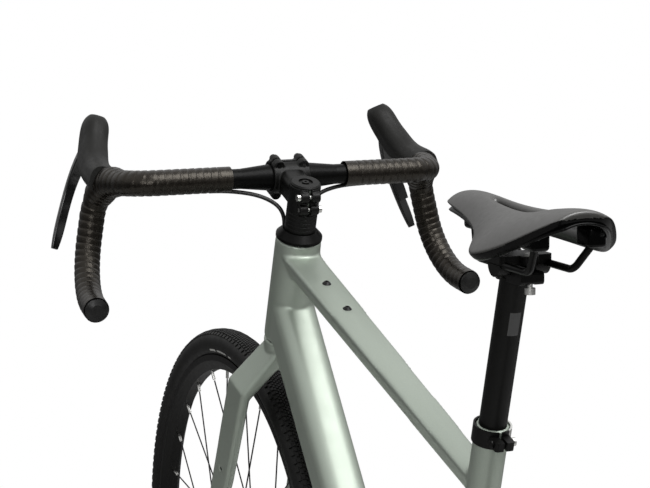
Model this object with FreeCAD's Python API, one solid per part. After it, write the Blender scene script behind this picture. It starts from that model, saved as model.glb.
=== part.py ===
import FreeCAD, Part
import math
import os

from FreeCAD import Vector

# Overall layout, millimetres and degrees
WHEELBASE = 1034.0
CHAINSTAY_LENGTH = 430.0
BB_DROP = 70.0
HEAD_ANGLE = 70.45
SEAT_ANGLE = 73.75
FORK_RAKE = 51.5

# Fits, gaps and cutting overrun
RUNNING_GAP = 0.05
SIDE_GAP = 0.4
SEAM_GAP = 0.6
OVERRUN = 30.0

# Tyre and rim
BEAD_RADIUS = 311.0
TYRE_HEIGHT = 40.0
TREAD_THICKNESS = 4.5
SIDEWALL_THICKNESS = 3.0
RIM_INNER_WIDTH = 23.0
RIM_WALL = 2.8
RIM_FLANGE = 6.0
RIM_SIDE_HEIGHT = 8.0
RIM_DEPTH = 20.0
RIM_BED_WIDTH = 14.0
RIM_WELL_WIDTH = 10.0
RIM_WELL_DEPTH = 3.5
VALVE_RADIUS = 2.9
VALVE_REACH = 38.0
VALVE_SEAT = 5.0

# Spokes
SPOKE_COUNT = 28
SPOKE_LEAD = 51.0
FRONT_WHEEL_TURN = 6.4
REAR_WHEEL_TURN = 0.0
SPOKE_RADIUS = 0.95
SPOKE_ELBOW_RADIUS = 1.05
NIPPLE_RADIUS = 2.0
NIPPLE_LENGTH = 12.0
NIPPLE_SEAT = 3.0
SPOKE_HOLE_GAP = 0.15
SPOKE_STANDOFF = 1.2
SPOKE_HEAD_RADIUS = 1.9
SPOKE_HEAD_HEIGHT = 1.2

# Hubs, rotors and axles
FLANGE_RADIUS = 26.0
FLANGE_HOLE_RADIUS = 22.5
FLANGE_THICKNESS = 3.0
HUB_WAIST_RADIUS = 13.0
HUB_END_RADIUS = 10.0
AXLE_RADIUS = 6.0
AXLE_HEAD_RADIUS = 9.0
AXLE_HEAD_HEIGHT = 3.0
FRONT_SPACING = 100.0
FRONT_FLANGES = (20.0, -32.0)
FRONT_ROTOR_PLANE = 38.5
REAR_SPACING = 142.0
REAR_FLANGES = (33.0, -16.0)
REAR_ROTOR_PLANE = 55.0
REAR_HUB_RIGHT = -19.5
ROTOR_RADIUS = 80.0
ROTOR_BAND = 14.0
ROTOR_THICKNESS = 1.8
ROTOR_CARRIER_RADIUS = 26.0
ROTOR_BOSS_RADIUS = 17.0
ROTOR_BOSS_LENGTH = 4.0
ROTOR_ARMS = 6
ROTOR_ARM_WIDTH = 8.0
ROTOR_ARM_LEAN = 25.0
ROTOR_VENTS = 24
ROTOR_VENT_RADIUS = 2.6

# Head tube, headset and steerer, measured up the steering axis
CROWN_SEAT = 418.4
HEAD_TUBE_LENGTH = 136.0
HEAD_TUBE_RADIUS = 27.5
HEAD_TUBE_BORE = 22.0
BEARING_RADIUS = 25.0
BEARING_BORE = 20.0
BEARING_HEIGHT = 7.0
STEERER_RADIUS = 14.3
STEERER_TAPER = 50.0
COVER_RADIUS = 27.7
COVER_LIP = 3.5
COVER_TOP_RADIUS = 20.5
COVER_HEIGHT = 11.0
SPACER_COUNT = 5
SPACER_HEIGHT = 4.8
SPACER_RADIUS = 18.6
SPACER_EDGE = 0.5

# Frame tubes
TOP_TUBE_HEAD = 537.0
TOP_TUBE_SEAT = 416.0
TOP_TUBE_HEAD_WIDTH = 51.5
TOP_TUBE_SEAT_WIDTH = 33.5
TOP_TUBE_HEAD_DEPTH = 42.0
TOP_TUBE_SEAT_DEPTH = 36.0
TOP_TUBE_BASE_SHARE = 0.56
TOP_TUBE_CROWN = 4.5
TOP_TUBE_EDGE_RADIUS = 3.5
TOP_TUBE_BASE_RADIUS = 7.0
TOP_TUBE_CROWN_RADIUS = 30.0
TUBE_WALL = 2.2
DOWN_TUBE_HEAD = 455.0
DOWN_TUBE_HEAD_SPAN = 68.0
DOWN_TUBE_HEAD_WIDTH = 53.0
DOWN_TUBE_BB_WIDTH = 54.0
DOWN_TUBE_BB_HEIGHT = 42.0
DOWN_TUBE_RADIUS = 18.0
SEAT_TUBE_RADIUS = 17.0
SEAT_TUBE_TOP = 480.0
SEAT_TUBE_SLEEVE = 200.0
SEAT_TUBE_BORE = 15.6
SEAT_SLOT_LENGTH = 44.0
SEAT_SLOT_WIDTH = 3.0
BB_SHELL_RADIUS = 23.0
BB_SHELL_WIDTH = 68.0
BB_BORE = 20.5

# Rear stays, from the bottom bracket or seat tube to the dropouts
DROPOUT_THICKNESS = 9.0
DROPOUT_RADIUS = 17.0
DROPOUT_REACH_SHARE = 0.5
STAY_END_RADIUS = 10.0
CHAINSTAY_SHARES = (0.07, 0.2, 0.42, 0.78, 0.93)
CHAINSTAY_SPREAD_SHARES = (0.347, 0.413, 0.533, 0.88, 1.0)
CHAINSTAY_WIDTH = 20.0
CHAINSTAY_WIDTH_SHARES = (1.0, 0.75, 0.8, 0.7, 0.64)
CHAINSTAY_HEIGHT = 34.0
CHAINSTAY_HEIGHT_SHARES = (1.0, 0.88, 0.7, 0.56, 0.47)
SEATSTAY_FOOT = 335.0
SEATSTAY_DROPOUT_RISE = 17.0
SEATSTAY_DROPOUT_AHEAD = 12.0
SEATSTAY_SHARES = (0.02, 0.16, 0.4, 0.78, 0.99)
SEATSTAY_SPREAD_SHARES = (0.17, 0.4, 0.5, 0.88, 1.0)
SEATSTAY_WIDTH = 16.0
SEATSTAY_WIDTH_SHARES = (1.0, 0.81, 0.75, 0.75, 0.8)
SEATSTAY_HEIGHT = 26.0
SEATSTAY_HEIGHT_SHARES = (1.0, 0.77, 0.62, 0.58, 0.54)
STAY_CORNER_SHARE = 0.42
HANGER_AHEAD = 7.0
HANGER_DROP = 29.0
HANGER_RADIUS = 9.0
HANGER_BOLT_RADIUS = 5.0

# Bolts and threaded bosses
BOSS_RADIUS = 4.5
BOSS_DEPTH = 12.0
THREAD_RADIUS = 2.5
BOLT_PITCH = 64.0
BUTTON_RADIUS = 5.2
BUTTON_HEIGHT = 4.0
BUTTON_SINK = 1.6
BUTTON_SOCKET_RADIUS = 1.7
TOP_BOLT_FROM_HEAD = 97.0
DOWN_BOSS_FROM_BB = 190.0
SEAT_BOSS_FROM_BB = 150.0

# Fork
CROWN_BASE = 383.0
CROWN_BASE_RADIUS = 22.0
CROWN_ARM_FOOT = 14.0
CROWN_ARM_TOP = 416.0
CROWN_ARM_HALF_DEPTH = 21.0
SHOULDER_OUTER = 62.5
SHOULDER_OUTER_ALONG = 357.0
SHOULDER_INNER = 41.5
SHOULDER_INNER_ALONG = 341.0
SHOULDER_HALF_DEPTH = 22.0
BLADE_REAR_SHARE = 0.55
BLADE_ALONG = (213.0, 24.0)
BLADE_LEFT = (51.5, 56.0)
BLADE_THICKNESS = (20.0, 12.0)
BLADE_DEPTH = (41.0, 26.0)
BLADE_CORNER_SHARE = 0.22
FORK_END_RADIUS = 15.0
FORK_END_THICKNESS = 12.0
FORK_BOSS_ALONG = 223.0
FORK_BOSS_COUNT = 3
FORK_BOSS_DEPTH = 10.0

# Stem and handlebar
STEM_LENGTH = 57.0
STEM_CLAMP_HEIGHT = 34.0
STEM_CLAMP_RADIUS = 18.6
STEM_SLOT_WIDTH = 3.0
STEM_NECK_WIDTH = 33.0
STEM_NECK_HEIGHT = 30.0
STEM_NECK_CORNER = 9.0
BAR_CLAMP_RADIUS = 20.5
BAR_CLAMP_WIDTH = 46.0
BAR_CLAMP_SPLIT = 2.0
STEM_LUG_RISE = 19.0
STEM_LUG_SPREAD = 15.5
STEM_LUG_RADIUS = 6.2
STEM_LUG_REACH = 11.0
STEM_BOLT_RADIUS = 2.5
STEM_BOLT_HEAD_RADIUS = 4.2
STEM_BOLT_HEAD_HEIGHT = 4.0
PINCH_BEHIND = 17.5
PINCH_LUG_RADIUS = 6.5
PINCH_LUG_LENGTH = 24.0
PINCH_INSET = 9.0
TOP_CAP_RADIUS = 17.8
TOP_CAP_HEIGHT = 3.2
TOP_CAP_RECESS_RADIUS = 8.5
TOP_CAP_RECESS = 1.8
BAR_CENTRE_RADIUS = 15.9
BAR_RADIUS = 12.0
BAR_WALL = 2.2
BAR_CENTRE_HALF = 23.5
BAR_TAPER_END = 60.0
TAPE_START = 72.7
TAPE_THICKNESS = 2.8
BAR_HALF_WIDTH = 190.0
BAR_REACH = 91.0
BAR_RAMP_DROP = 4.0
BAR_HOOK_DROP = 132.0
BAR_RAMP_FLARE = 20.0
BAR_HOOK_FLARE = 24.0
BAR_HOOK_BACK = 13.0
BAR_END_BACK = 82.0
BAR_END_DROP = 12.0
BAR_END_FLARE = 6.0
BAR_CORNER_RADIUS = 36.0
BAR_HOOK_RADIUS = 44.0
BAR_DROP_RADIUS = 80.0
PLUG_RIM = 1.0
PLUG_FLANGE = 3.0
PLUG_DOME = 2.5
PLUG_DEPTH = 16.0

# Lever hoods, levers and shift paddle, in the frame of the leaning hood
HOOD_AHEAD = 58.0
HOOD_LEAN = 19.0
HOOD_LENGTH = 110.0
HOOD_AHEAD_SHARES = (0.02, 0.2, 0.47, 0.71, 0.88, 0.965, 0.995)
HOOD_RISE_SHARES = (-0.01, 0.02, 0.08, 0.22, 0.42, 0.57, 0.635)
HOOD_TILTS = (0.0, 8.0, 22.0, 42.0, 62.0, 72.0, 75.0)
HOOD_WIDTH = 33.0
HOOD_WIDTH_SHARES = (1.0, 1.01, 0.97, 0.97, 0.95, 0.86, 0.6)
HOOD_HEIGHT_SHARES = (1.0, 1.04, 1.09, 1.24, 1.18, 0.98, 0.65)
HOOD_CORNER_SHARE = 0.4
LEVER_AHEAD_SHARES = (0.91, 0.99, 1.1, 1.18, 1.17, 1.11, 1.075)
LEVER_RISE_SHARES = (0.31, 0.25, 0.1, -0.14, -0.46, -0.74, -0.92)
LEVER_TILTS = (-38.0, -48.0, -62.0, -84.0, -98.0, -104.0, -104.0)
LEVER_WIDTH = 16.0
LEVER_WIDTH_SHARES = (1.0, 1.0, 0.95, 0.84, 0.76, 0.72, 0.5)
LEVER_THICKNESS_SHARES = (0.65, 0.72, 0.7, 0.6, 0.55, 0.5, 0.35)
LEVER_CORNER_SHARE = 0.22
LEVER_PIVOT_AHEAD_SHARE = 0.93
LEVER_PIVOT_RISE_SHARE = 0.29
LEVER_PIN_RADIUS = 2.0
LEVER_POCKET_GAP = 0.8
LEVER_POCKET_BACK_SHARE = 0.85
LEVER_POCKET_TOP_SHARE = 0.37
PADDLE_AHEAD_SHARES = (1.075, 1.07, 1.04)
PADDLE_RISE_SHARES = (-0.14, -0.32, -0.56)
PADDLE_TILTS = (-95.0, -98.0, -104.0)
PADDLE_WIDTH_SHARES = (0.7, 0.85, 0.75)
PADDLE_THICKNESS = 4.0
PADDLE_RISE_SHARE = -0.2
PADDLE_PIN_RADIUS = 1.8
PADDLE_PIN_SHARE = 0.75

# Hoses
HOSE_RADIUS = 2.5
HOSE_HIDDEN = 24.0
HOSE_MID_LEFT = 33.0
HOSE_MID_AHEAD = 40.0
HOSE_MID_DROP = 16.0
HOSE_ENTRY_RUN = 16.0
HOSE_ARC_SHARE = 0.48
COVER_ENTRY_AHEAD = 17.0
COVER_ENTRY_LEFT = 13.0
COVER_ENTRY_DEPTH = 6.0
COVER_ENTRY_RISE = 9.0

# Seat clamp, seatpost and saddle clamp
COLLAR_HEIGHT = 18.0
COLLAR_RADIUS = 18.8
COLLAR_EAR_RADIUS = 6.0
COLLAR_EAR_WIDTH = 20.0
POST_RADIUS = 13.6
POST_INSERT = 104.0
POST_WALL = 2.4
RAIL_HEIGHT = 624.0
RAIL_AHEAD = -5.0
CRADLE_RADIUS = 12.0
CRADLE_LENGTH = 32.0
CRADLE_WIDTH = 53.0
CLAMP_TOP_HEIGHT = 8.0
CLAMP_SPINE_WIDTH = 16.0
CLAMP_SPLIT = 1.0
POST_HEAD_HALF = 26.0
POST_HEAD_WIDTH = 24.0
POST_HEAD_BASE = 18.0
POST_HEAD_TOP = 6.0
POST_HEAD_CORNER = 4.0
CLAMP_BOLT_OFFSET = 21.0
CLAMP_BOLT_RADIUS = 2.5
CLAMP_BOLT_PLAY = 1.8
CLAMP_NUT_RADIUS = 5.0
CLAMP_NUT_HEIGHT = 6.0
CLAMP_NUT_GAP = 2.8

# Saddle
SADDLE_NOSE_AHEAD = 126.6
SADDLE_LENGTH = 247.0
SADDLE_RISE = 51.0
SADDLE_STATION_SHARES = (0.0, 0.035, 0.13, 0.3, 0.45, 0.6, 0.74, 0.88, 1.0)
SADDLE_HALF_WIDTH = 76.0
SADDLE_WIDTH_SHARES = (0.1, 0.19, 0.27, 0.35, 0.5, 0.79, 0.91, 0.7, 0.3)
SADDLE_DEPTH = 24.0
SADDLE_RISE_SHARES = (-0.12, 0.12, 0.26, 0.24, 0.2, 0.2, 0.22, 0.34, 0.36)
SADDLE_EDGE_SHARES = (0.2, 0.33, 0.45, 0.62, 0.78, 0.95, 1.12, 0.8, 0.28)
SADDLE_SIDE_SHARES = (0.25, 0.38, 0.45, 0.5, 0.5, 0.45, 0.42, 0.34, 0.25)
SADDLE_BULGE_SHARE = 1.03
SADDLE_TUCK_SHARE = 0.86
SHELL_WIDTH_SHARE = 0.8
SHELL_THICKNESS = 4.5
SLOT_FRONT_SHARE = 0.3
SLOT_REAR_SHARE = 0.7
SLOT_FRONT_RADIUS = 5.5
SLOT_REAR_RADIUS = 9.0
RAIL_RADIUS = 3.5
RAIL_SPREAD = 22.0
RAIL_NOSE_SHARE = 0.26
RAIL_NOSE_SPREAD = 15.0
RAIL_FRONT_SHARE = 0.34
RAIL_REAR_SHARE = 0.76
RAIL_TAIL_SHARE = 0.9
RAIL_TAIL_SPREAD = 32.0
RAIL_BEND = 18.0
SOCKET_RADIUS = 6.5
SOCKET_LENGTH = 14.0

# Crank, chainring and pedals
SPINDLE_RADIUS = 14.5
CUP_WIDTH = 6.0
CUP_RADIUS = 22.0
CRANK_LENGTH = 172.5
CRANK_ARM_PLANE = 65.0
CRANK_ARM_THICKNESS = 14.0
CRANK_ROOT_RADIUS = 19.0
CRANK_END_RADIUS = 14.0
CRANK_BOSS_RADIUS = 18.0
PEDAL_AXLE_RADIUS = 7.0
PEDAL_LENGTH = 96.0
PEDAL_WIDTH = 90.0
PEDAL_HEIGHT = 15.0
PEDAL_CORNER = 12.0
PEDAL_WALL = 13.0
PEDAL_GAP = 9.0
PEDAL_CORE_RADIUS = 10.5

# Chain and sprockets
CHAIN_PITCH = 12.7
CHAIN_PLANE = -44.0
ROLLER_RADIUS = 3.85
ROLLER_GAP = 0.25
TOOTH_ABOVE = 2.8
GAP_ROOT_HALF = 2.8
GAP_TIP_HALF = 5.6
SPROCKET_THICKNESS = 1.7
RING_TEETH = 40
RING_BAND = 11.0
RING_ARMS = 5
RING_ARM_WIDTH = 13.0
RING_HUB_RADIUS = 25.0
COG_TEETH = (11, 13, 15, 17, 19, 21, 24, 28, 32, 37, 42)
COG_ENGAGED = 5
COG_STEP = 3.8
COG_HOLE_COUNT = 6
COG_HOLE_SHARE = 0.3
FREEHUB_RADIUS = 16.5
PULLEY_TEETH = 12
PULLEY_BOLT_RADIUS = 3.0
PULLEY_HOLE_RADIUS = 3.2
GUIDE_AHEAD = 13.0
GUIDE_DROP = 82.0
CAGE_LENGTH = 93.0
CAGE_SWING_LIMITS = (-5.0, 75.0)
CAGE_PLATE = 2.0
CAGE_HALF_GAP = 4.6
CAGE_TOP_RADIUS = 15.0
CAGE_END_RADIUS = 11.0
CHAIN_LINKS = 106
LINK_RADIUS = 4.2
LINK_INNER_FACE = 1.15
LINK_INNER_OUT = 1.95
LINK_OUTER_FACE = 2.0
LINK_OUTER_OUT = 2.8
CHAIN_PIN_RADIUS = 1.8

# Rear derailleur body
KNUCKLE_RADIUS = 12.0
KNUCKLE_LENGTH = 14.0
LINK_BODY_WIDTH = 22.0
LINK_BODY_DEPTH = 14.0
PIVOT_KNUCKLE_RADIUS = 15.0
PIVOT_KNUCKLE_LENGTH = 15.0

# Brake calipers
CALIPER_WIDTH = 28.0
CALIPER_LENGTH = 62.0
CALIPER_HEIGHT = 27.0
CALIPER_CORNER = 6.0
PAD_THICKNESS = 2.4
PAD_GAP = 0.35
PAD_LENGTH = 24.0
PAD_HEIGHT = 13.0
FRONT_CALIPER_ALONG = 68.0
FRONT_CALIPER_AHEAD = 6.0
FRONT_CALIPER_LEFT = 42.0
REAR_CALIPER_SHARE = 0.83
REAR_CALIPER_RISE = 22.0
REAR_CALIPER_LEFT = 57.0
CALIPER_HOSE_SINK = 7.0
CALIPER_HOSE_BEND = 14.0
FRONT_HOSE_ALONG = 138.0
REAR_HOSE_SHARE = 0.667

# Directions and key points
LEFT = Vector(0, 1, 0)
UP = Vector(0, 0, 1)
AHEAD = Vector(1, 0, 0)
WHEEL_RADIUS = BEAD_RADIUS + TYRE_HEIGHT
FRONT_AXLE = Vector(WHEELBASE / 2, 0, WHEEL_RADIUS)
REAR_AXLE = Vector(-WHEELBASE / 2, 0, WHEEL_RADIUS)
BB_CENTRE = REAR_AXLE + AHEAD * math.sqrt(CHAINSTAY_LENGTH ** 2 - BB_DROP ** 2) - UP * BB_DROP
HEAD_TURN = math.radians(HEAD_ANGLE)
STEER_UP = Vector(-math.cos(HEAD_TURN), 0, math.sin(HEAD_TURN))
STEER_AHEAD = Vector(math.sin(HEAD_TURN), 0, math.cos(HEAD_TURN))
STEER_FOOT = FRONT_AXLE - STEER_AHEAD * FORK_RAKE
SEAT_TURN = math.radians(SEAT_ANGLE)
SEAT_UP = Vector(-math.cos(SEAT_TURN), 0, math.sin(SEAT_TURN))
SEAT_BEHIND = Vector(-math.sin(SEAT_TURN), 0, -math.cos(SEAT_TURN))
HEAD_BASE = CROWN_SEAT + SEAM_GAP
HEAD_TOP = HEAD_BASE + HEAD_TUBE_LENGTH
COVER_BASE = HEAD_TOP + SEAM_GAP
SPACER_BASE = COVER_BASE + COVER_HEIGHT
STEM_BASE = SPACER_BASE + SPACER_COUNT * SPACER_HEIGHT
STEM_MIDDLE = STEM_BASE + STEM_CLAMP_HEIGHT / 2
STEM_TOP = STEM_BASE + STEM_CLAMP_HEIGHT
DROPOUT_MIDDLE = REAR_SPACING / 2 + DROPOUT_THICKNESS / 2
TAPE_RADIUS = BAR_RADIUS + TAPE_THICKNESS
SPOKE_BED = BEAD_RADIUS + RIM_FLANGE - RIM_DEPTH


def steer_at(along, ahead=0, left=0):
    """A point in the frame of the steering axis."""
    return STEER_FOOT + STEER_UP * along + STEER_AHEAD * ahead + LEFT * left


def seat_at(along, behind=0, left=0):
    """A point in the frame of the seat tube axis."""
    return BB_CENTRE + SEAT_UP * along + SEAT_BEHIND * behind + LEFT * left


BAR_CENTRE = steer_at(STEM_MIDDLE, STEM_LENGTH)


def unit(vector):
    return Vector(vector).normalize()


def radial(angle):
    """The unit vector at an angle in the plane of a wheel."""
    turn = math.radians(angle)
    return Vector(math.cos(turn), 0, math.sin(turn))


def blend(low, high, share):
    return low + (high - low) * share


def cylinder(start, end, radius):
    return Part.makeCylinder(radius, (end - start).Length, start, end - start)


def cross_rod(centre, low, high, radius):
    """A cylinder across the bike between two distances left of a point."""
    return cylinder(centre + LEFT * low, centre + LEFT * high, radius)


def ring(start, end, outer, inner):
    along = unit(end - start) * OVERRUN
    return cylinder(start, end, outer).cut(cylinder(start - along, end + along, inner))


def polygon_face(points):
    return Part.Face(Part.makePolygon(points + points[:1]))


def turned(outline, origin, axis, side):
    """A solid of revolution from pairs of distance along the axis and radius."""
    points = [origin + axis * along + side * radius for along, radius in outline]
    return polygon_face(points).revolve(origin, axis, 360)


def arc(start, middle, end):
    return Part.Arc(start, middle, end).toShape()


def rounded_loop(corners, radii):
    """A closed wire round the corners, each one rounded with its own radius."""
    count = len(corners)
    arcs = []
    for k in range(count):
        back = unit(corners[k - 1] - corners[k])
        onward = unit(corners[(k + 1) % count] - corners[k])
        half = back.getAngle(onward) / 2
        reach = radii[k] / math.tan(half)
        inward = unit(back + onward) * (radii[k] / math.sin(half) - radii[k])
        arcs.append((corners[k] + back * reach, corners[k] + inward, corners[k] + onward * reach))
    edges = []
    for k in range(count):
        edges.append(arc(*arcs[k]))
        edges.append(Part.makeLine(arcs[k][2], arcs[(k + 1) % count][0]))
    return Part.Wire(edges)


def box_loop(centre, across, up, width, height, radius):
    """A rounded rectangle in the plane of two directions."""
    signs = ((1, 1), (-1, 1), (-1, -1), (1, -1))
    corners = [centre + across * (x * width / 2) + up * (y * height / 2) for x, y in signs]
    return rounded_loop(corners, [radius] * len(corners))


def loft(wires, ruled=True):
    return Part.makeLoft(wires, True, ruled)


def bent_path(points, radii):
    """A wire of straight runs joined by tangent arcs at the inner points."""
    edges = []
    start = points[0]
    for k in range(1, len(points) - 1):
        back = unit(points[k - 1] - points[k])
        onward = unit(points[k + 1] - points[k])
        half = back.getAngle(onward) / 2
        reach = radii[k - 1] / math.tan(half)
        inward = unit(back + onward) * (radii[k - 1] / math.sin(half) - radii[k - 1])
        edges.append(Part.makeLine(start, points[k] + back * reach))
        edges.append(arc(points[k] + back * reach, points[k] + inward, points[k] + onward * reach))
        start = points[k] + onward * reach
    edges.append(Part.makeLine(start, points[-1]))
    return Part.Wire(edges)


def rod(points, radii, radius):
    """A round rod along a bent path."""
    circle = Part.Wire(Part.makeCircle(radius, points[0], points[1] - points[0]))
    return bent_path(points, radii).makePipeShell([circle], True, True)


def slab(centre, across, up, width, height, depth):
    """A box round a centre, as deep as given along the third direction."""
    through = across.cross(up)
    signs = ((1, 1), (-1, 1), (-1, -1), (1, -1))
    front = centre - through * (depth / 2)
    corners = [front + across * (x * width / 2) + up * (y * height / 2) for x, y in signs]
    return polygon_face(corners).extrude(through * depth)


def rounded_slab(centre, across, up, width, height, depth, radius):
    through = across.cross(up)
    front = centre - through * (depth / 2)
    return Part.Face(box_loop(front, across, up, width, height, radius)).extrude(through * depth)


def strap(first, second, axis, first_radius, second_radius, thickness):
    """A flat link round two centres with straight sides between them."""
    along = unit(second - first)
    side = axis.cross(along)
    lean = math.asin((first_radius - second_radius) / (second - first).Length)
    out = side * math.cos(lean) + along * math.sin(lean)
    over = along * math.sin(lean) - side * math.cos(lean)
    low = axis * (-thickness / 2)
    corners = [first + out * first_radius + low, second + out * second_radius + low,
               second + over * second_radius + low, first + over * first_radius + low]
    web = polygon_face(corners).extrude(axis * thickness)
    ends = [cylinder(first + low, first - low, first_radius),
            cylinder(second + low, second - low, second_radius)]
    return web.fuse(ends).removeSplitter()


def mirrored(shape):
    return shape.mirror(Vector(), LEFT)


def save(name, *shapes):
    solids = [solid for shape in shapes for solid in shape.Solids]
    Part.makeCompound(solids).exportStep("parts/" + name + ".step")


def tyre(axle):
    """The tyre casing, open towards the rim."""
    half = RIM_INNER_WIDTH / 2
    inner = half - SIDEWALL_THICKNESS
    flange = BEAD_RADIUS + RIM_FLANGE

    def at(left, radius):
        return axle + LEFT * left + UP * radius

    edges = [
        Part.makeLine(at(-half, BEAD_RADIUS), at(-half, flange)),
        arc(at(-half, flange), at(0, WHEEL_RADIUS), at(half, flange)),
        Part.makeLine(at(half, flange), at(half, BEAD_RADIUS)),
        Part.makeLine(at(half, BEAD_RADIUS), at(inner, BEAD_RADIUS)),
        Part.makeLine(at(inner, BEAD_RADIUS), at(inner, flange)),
        arc(at(inner, flange), at(0, WHEEL_RADIUS - TREAD_THICKNESS), at(-inner, flange)),
        Part.makeLine(at(-inner, flange), at(-inner, BEAD_RADIUS)),
        Part.makeLine(at(-inner, BEAD_RADIUS), at(-half, BEAD_RADIUS)),
    ]
    return Part.Face(Part.Wire(edges)).revolve(axle, LEFT, 360)


def lacing(axle, flanges, turn):
    """Spokes with nipples, and the holes they need in the flanges and the rim."""
    spokes = []
    flange_holes = []
    rim_holes = []
    for k in range(SPOKE_COUNT):
        plane = flanges[k % 2]
        outward = 1 - 2 * (k % 2)
        lead = 1 - 2 * (k // 2 % 2)
        over = outward * lead
        rim_angle = turn + 360 * k / SPOKE_COUNT
        foot = axle + radial(rim_angle + lead * SPOKE_LEAD) * FLANGE_HOLE_RADIUS + LEFT * plane
        start = foot + LEFT * (over * (FLANGE_THICKNESS / 2 + SPOKE_RADIUS + SPOKE_STANDOFF))
        far = foot - LEFT * (over * FLANGE_THICKNESS / 2)
        seat = axle + radial(rim_angle) * SPOKE_BED
        along = unit(seat - start)
        shaft = cylinder(start, seat, SPOKE_RADIUS)
        elbow = cylinder(start + LEFT * (over * SPOKE_ELBOW_RADIUS), far, SPOKE_ELBOW_RADIUS)
        head = cylinder(far, far - LEFT * (over * SPOKE_HEAD_HEIGHT), SPOKE_HEAD_RADIUS)
        nipple = cylinder(seat - along * NIPPLE_LENGTH, seat + along * NIPPLE_SEAT, NIPPLE_RADIUS)
        spokes.append(shaft.fuse([elbow, head, nipple]).removeSplitter())
        flange_holes.append(cross_rod(foot, -FLANGE_THICKNESS, FLANGE_THICKNESS,
                                      SPOKE_ELBOW_RADIUS + SPOKE_HOLE_GAP))
        rim_holes.append(cylinder(seat - along * NIPPLE_SEAT, seat + along * NIPPLE_SEAT,
                                  NIPPLE_RADIUS + SPOKE_HOLE_GAP))
    return spokes, flange_holes, rim_holes


def rim(axle, holes, turn):
    """The rim with its spoke holes and the valve."""
    half = RIM_INNER_WIDTH / 2
    outer = half + RIM_WALL
    flange = BEAD_RADIUS + RIM_FLANGE
    well = BEAD_RADIUS - RIM_WELL_DEPTH
    side = flange - RIM_SIDE_HEIGHT
    right = [(-RIM_BED_WIDTH / 2, SPOKE_BED), (-outer, side), (-outer, flange), (-half, flange),
             (-half, BEAD_RADIUS), (-RIM_WELL_WIDTH / 2, well)]
    outline = right + [(-left, radius) for left, radius in reversed(right)]
    body = turned(outline, axle, LEFT, UP)
    valve_way = radial(turn - 90 + 180 / SPOKE_COUNT)
    valve_low = axle + valve_way * (SPOKE_BED - VALVE_REACH)
    valve_high = axle + valve_way * (BEAD_RADIUS - RIM_WELL_DEPTH)
    body = body.cut(holes + [cylinder(valve_low, valve_high + valve_way * VALVE_SEAT,
                                      VALVE_RADIUS + RUNNING_GAP)])
    return [body, cylinder(valve_low, valve_high, VALVE_RADIUS)]


def hub(axle, left_end, right_end, flanges, rotor_plane, holes):
    """The hub shell with its flanges, rotor seat and axle bore."""
    parts = [cross_rod(axle, flanges[1], flanges[0], HUB_WAIST_RADIUS),
             cross_rod(axle, flanges[0], rotor_plane + ROTOR_BOSS_LENGTH, ROTOR_BOSS_RADIUS)]
    for plane in flanges:
        parts.append(cross_rod(axle, plane - FLANGE_THICKNESS / 2, plane + FLANGE_THICKNESS / 2,
                               FLANGE_RADIUS))
    shell = cross_rod(axle, right_end, left_end, HUB_END_RADIUS).fuse(parts).removeSplitter()
    bore = cross_rod(axle, right_end - OVERRUN, left_end + OVERRUN, AXLE_RADIUS + RUNNING_GAP)
    return shell.cut(holes + [bore])


def rotor(axle, plane):
    """A brake disc: vented band, leaning arms and carrier."""
    low = plane - ROTOR_THICKNESS / 2
    high = plane + ROTOR_THICKNESS / 2
    band = ring(axle + LEFT * low, axle + LEFT * high, ROTOR_RADIUS, ROTOR_RADIUS - ROTOR_BAND)
    middle = ROTOR_RADIUS - ROTOR_BAND / 2
    vents = []
    for k in range(ROTOR_VENTS):
        step = ROTOR_BAND / 5 * (k % 3 - 1)
        spot = axle + radial(360 * k / ROTOR_VENTS) * (middle + step)
        vents.append(cross_rod(spot, low - OVERRUN, high + OVERRUN, ROTOR_VENT_RADIUS))
    arms = [cross_rod(axle, low, high, ROTOR_CARRIER_RADIUS)]
    for k in range(ROTOR_ARMS):
        angle = 360 * k / ROTOR_ARMS
        root = radial(angle) * ROTOR_BOSS_RADIUS
        tip = radial(angle + ROTOR_ARM_LEAN) * (ROTOR_RADIUS - ROTOR_BAND)
        arms.append(strap(axle + LEFT * plane + root, axle + LEFT * plane + tip, LEFT,
                          ROTOR_ARM_WIDTH / 2, ROTOR_ARM_WIDTH / 2, ROTOR_THICKNESS))
    body = band.cut(vents).fuse(arms).removeSplitter()
    return body.cut(cross_rod(axle, low - OVERRUN, high + OVERRUN, ROTOR_BOSS_RADIUS))


def thru_axle(axle, low, high):
    """The axle rod with a low head on its left end."""
    rod_part = cross_rod(axle, low, high, AXLE_RADIUS)
    return rod_part.fuse(cross_rod(axle, high, high + AXLE_HEAD_HEIGHT, AXLE_HEAD_RADIUS)).removeSplitter()


def wheel(name, axle, turn, left_end, right_end, flanges, rotor_plane):
    spokes, flange_holes, rim_holes = lacing(axle, flanges, turn)
    save(name + "_tyre", tyre(axle))
    save(name + "_rim", *rim(axle, rim_holes, turn))
    save(name + "_spokes", *spokes)
    save(name + "_hub", hub(axle, left_end, right_end, flanges, rotor_plane, flange_holes))
    save(name + "_rotor", rotor(axle, rotor_plane))


def head_tube():
    body = ring(steer_at(HEAD_BASE), steer_at(HEAD_TOP), HEAD_TUBE_RADIUS, HEAD_TUBE_BORE)
    seats = [cylinder(steer_at(HEAD_BASE - OVERRUN), steer_at(HEAD_BASE + BEARING_HEIGHT), BEARING_RADIUS),
             cylinder(steer_at(HEAD_TOP - BEARING_HEIGHT), steer_at(HEAD_TOP + OVERRUN), BEARING_RADIUS)]
    return body.cut(seats)


def headset_bearings():
    return [ring(steer_at(HEAD_BASE), steer_at(HEAD_BASE + BEARING_HEIGHT), BEARING_RADIUS, BEARING_BORE),
            ring(steer_at(HEAD_TOP - BEARING_HEIGHT), steer_at(HEAD_TOP), BEARING_RADIUS, BEARING_BORE)]


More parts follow.
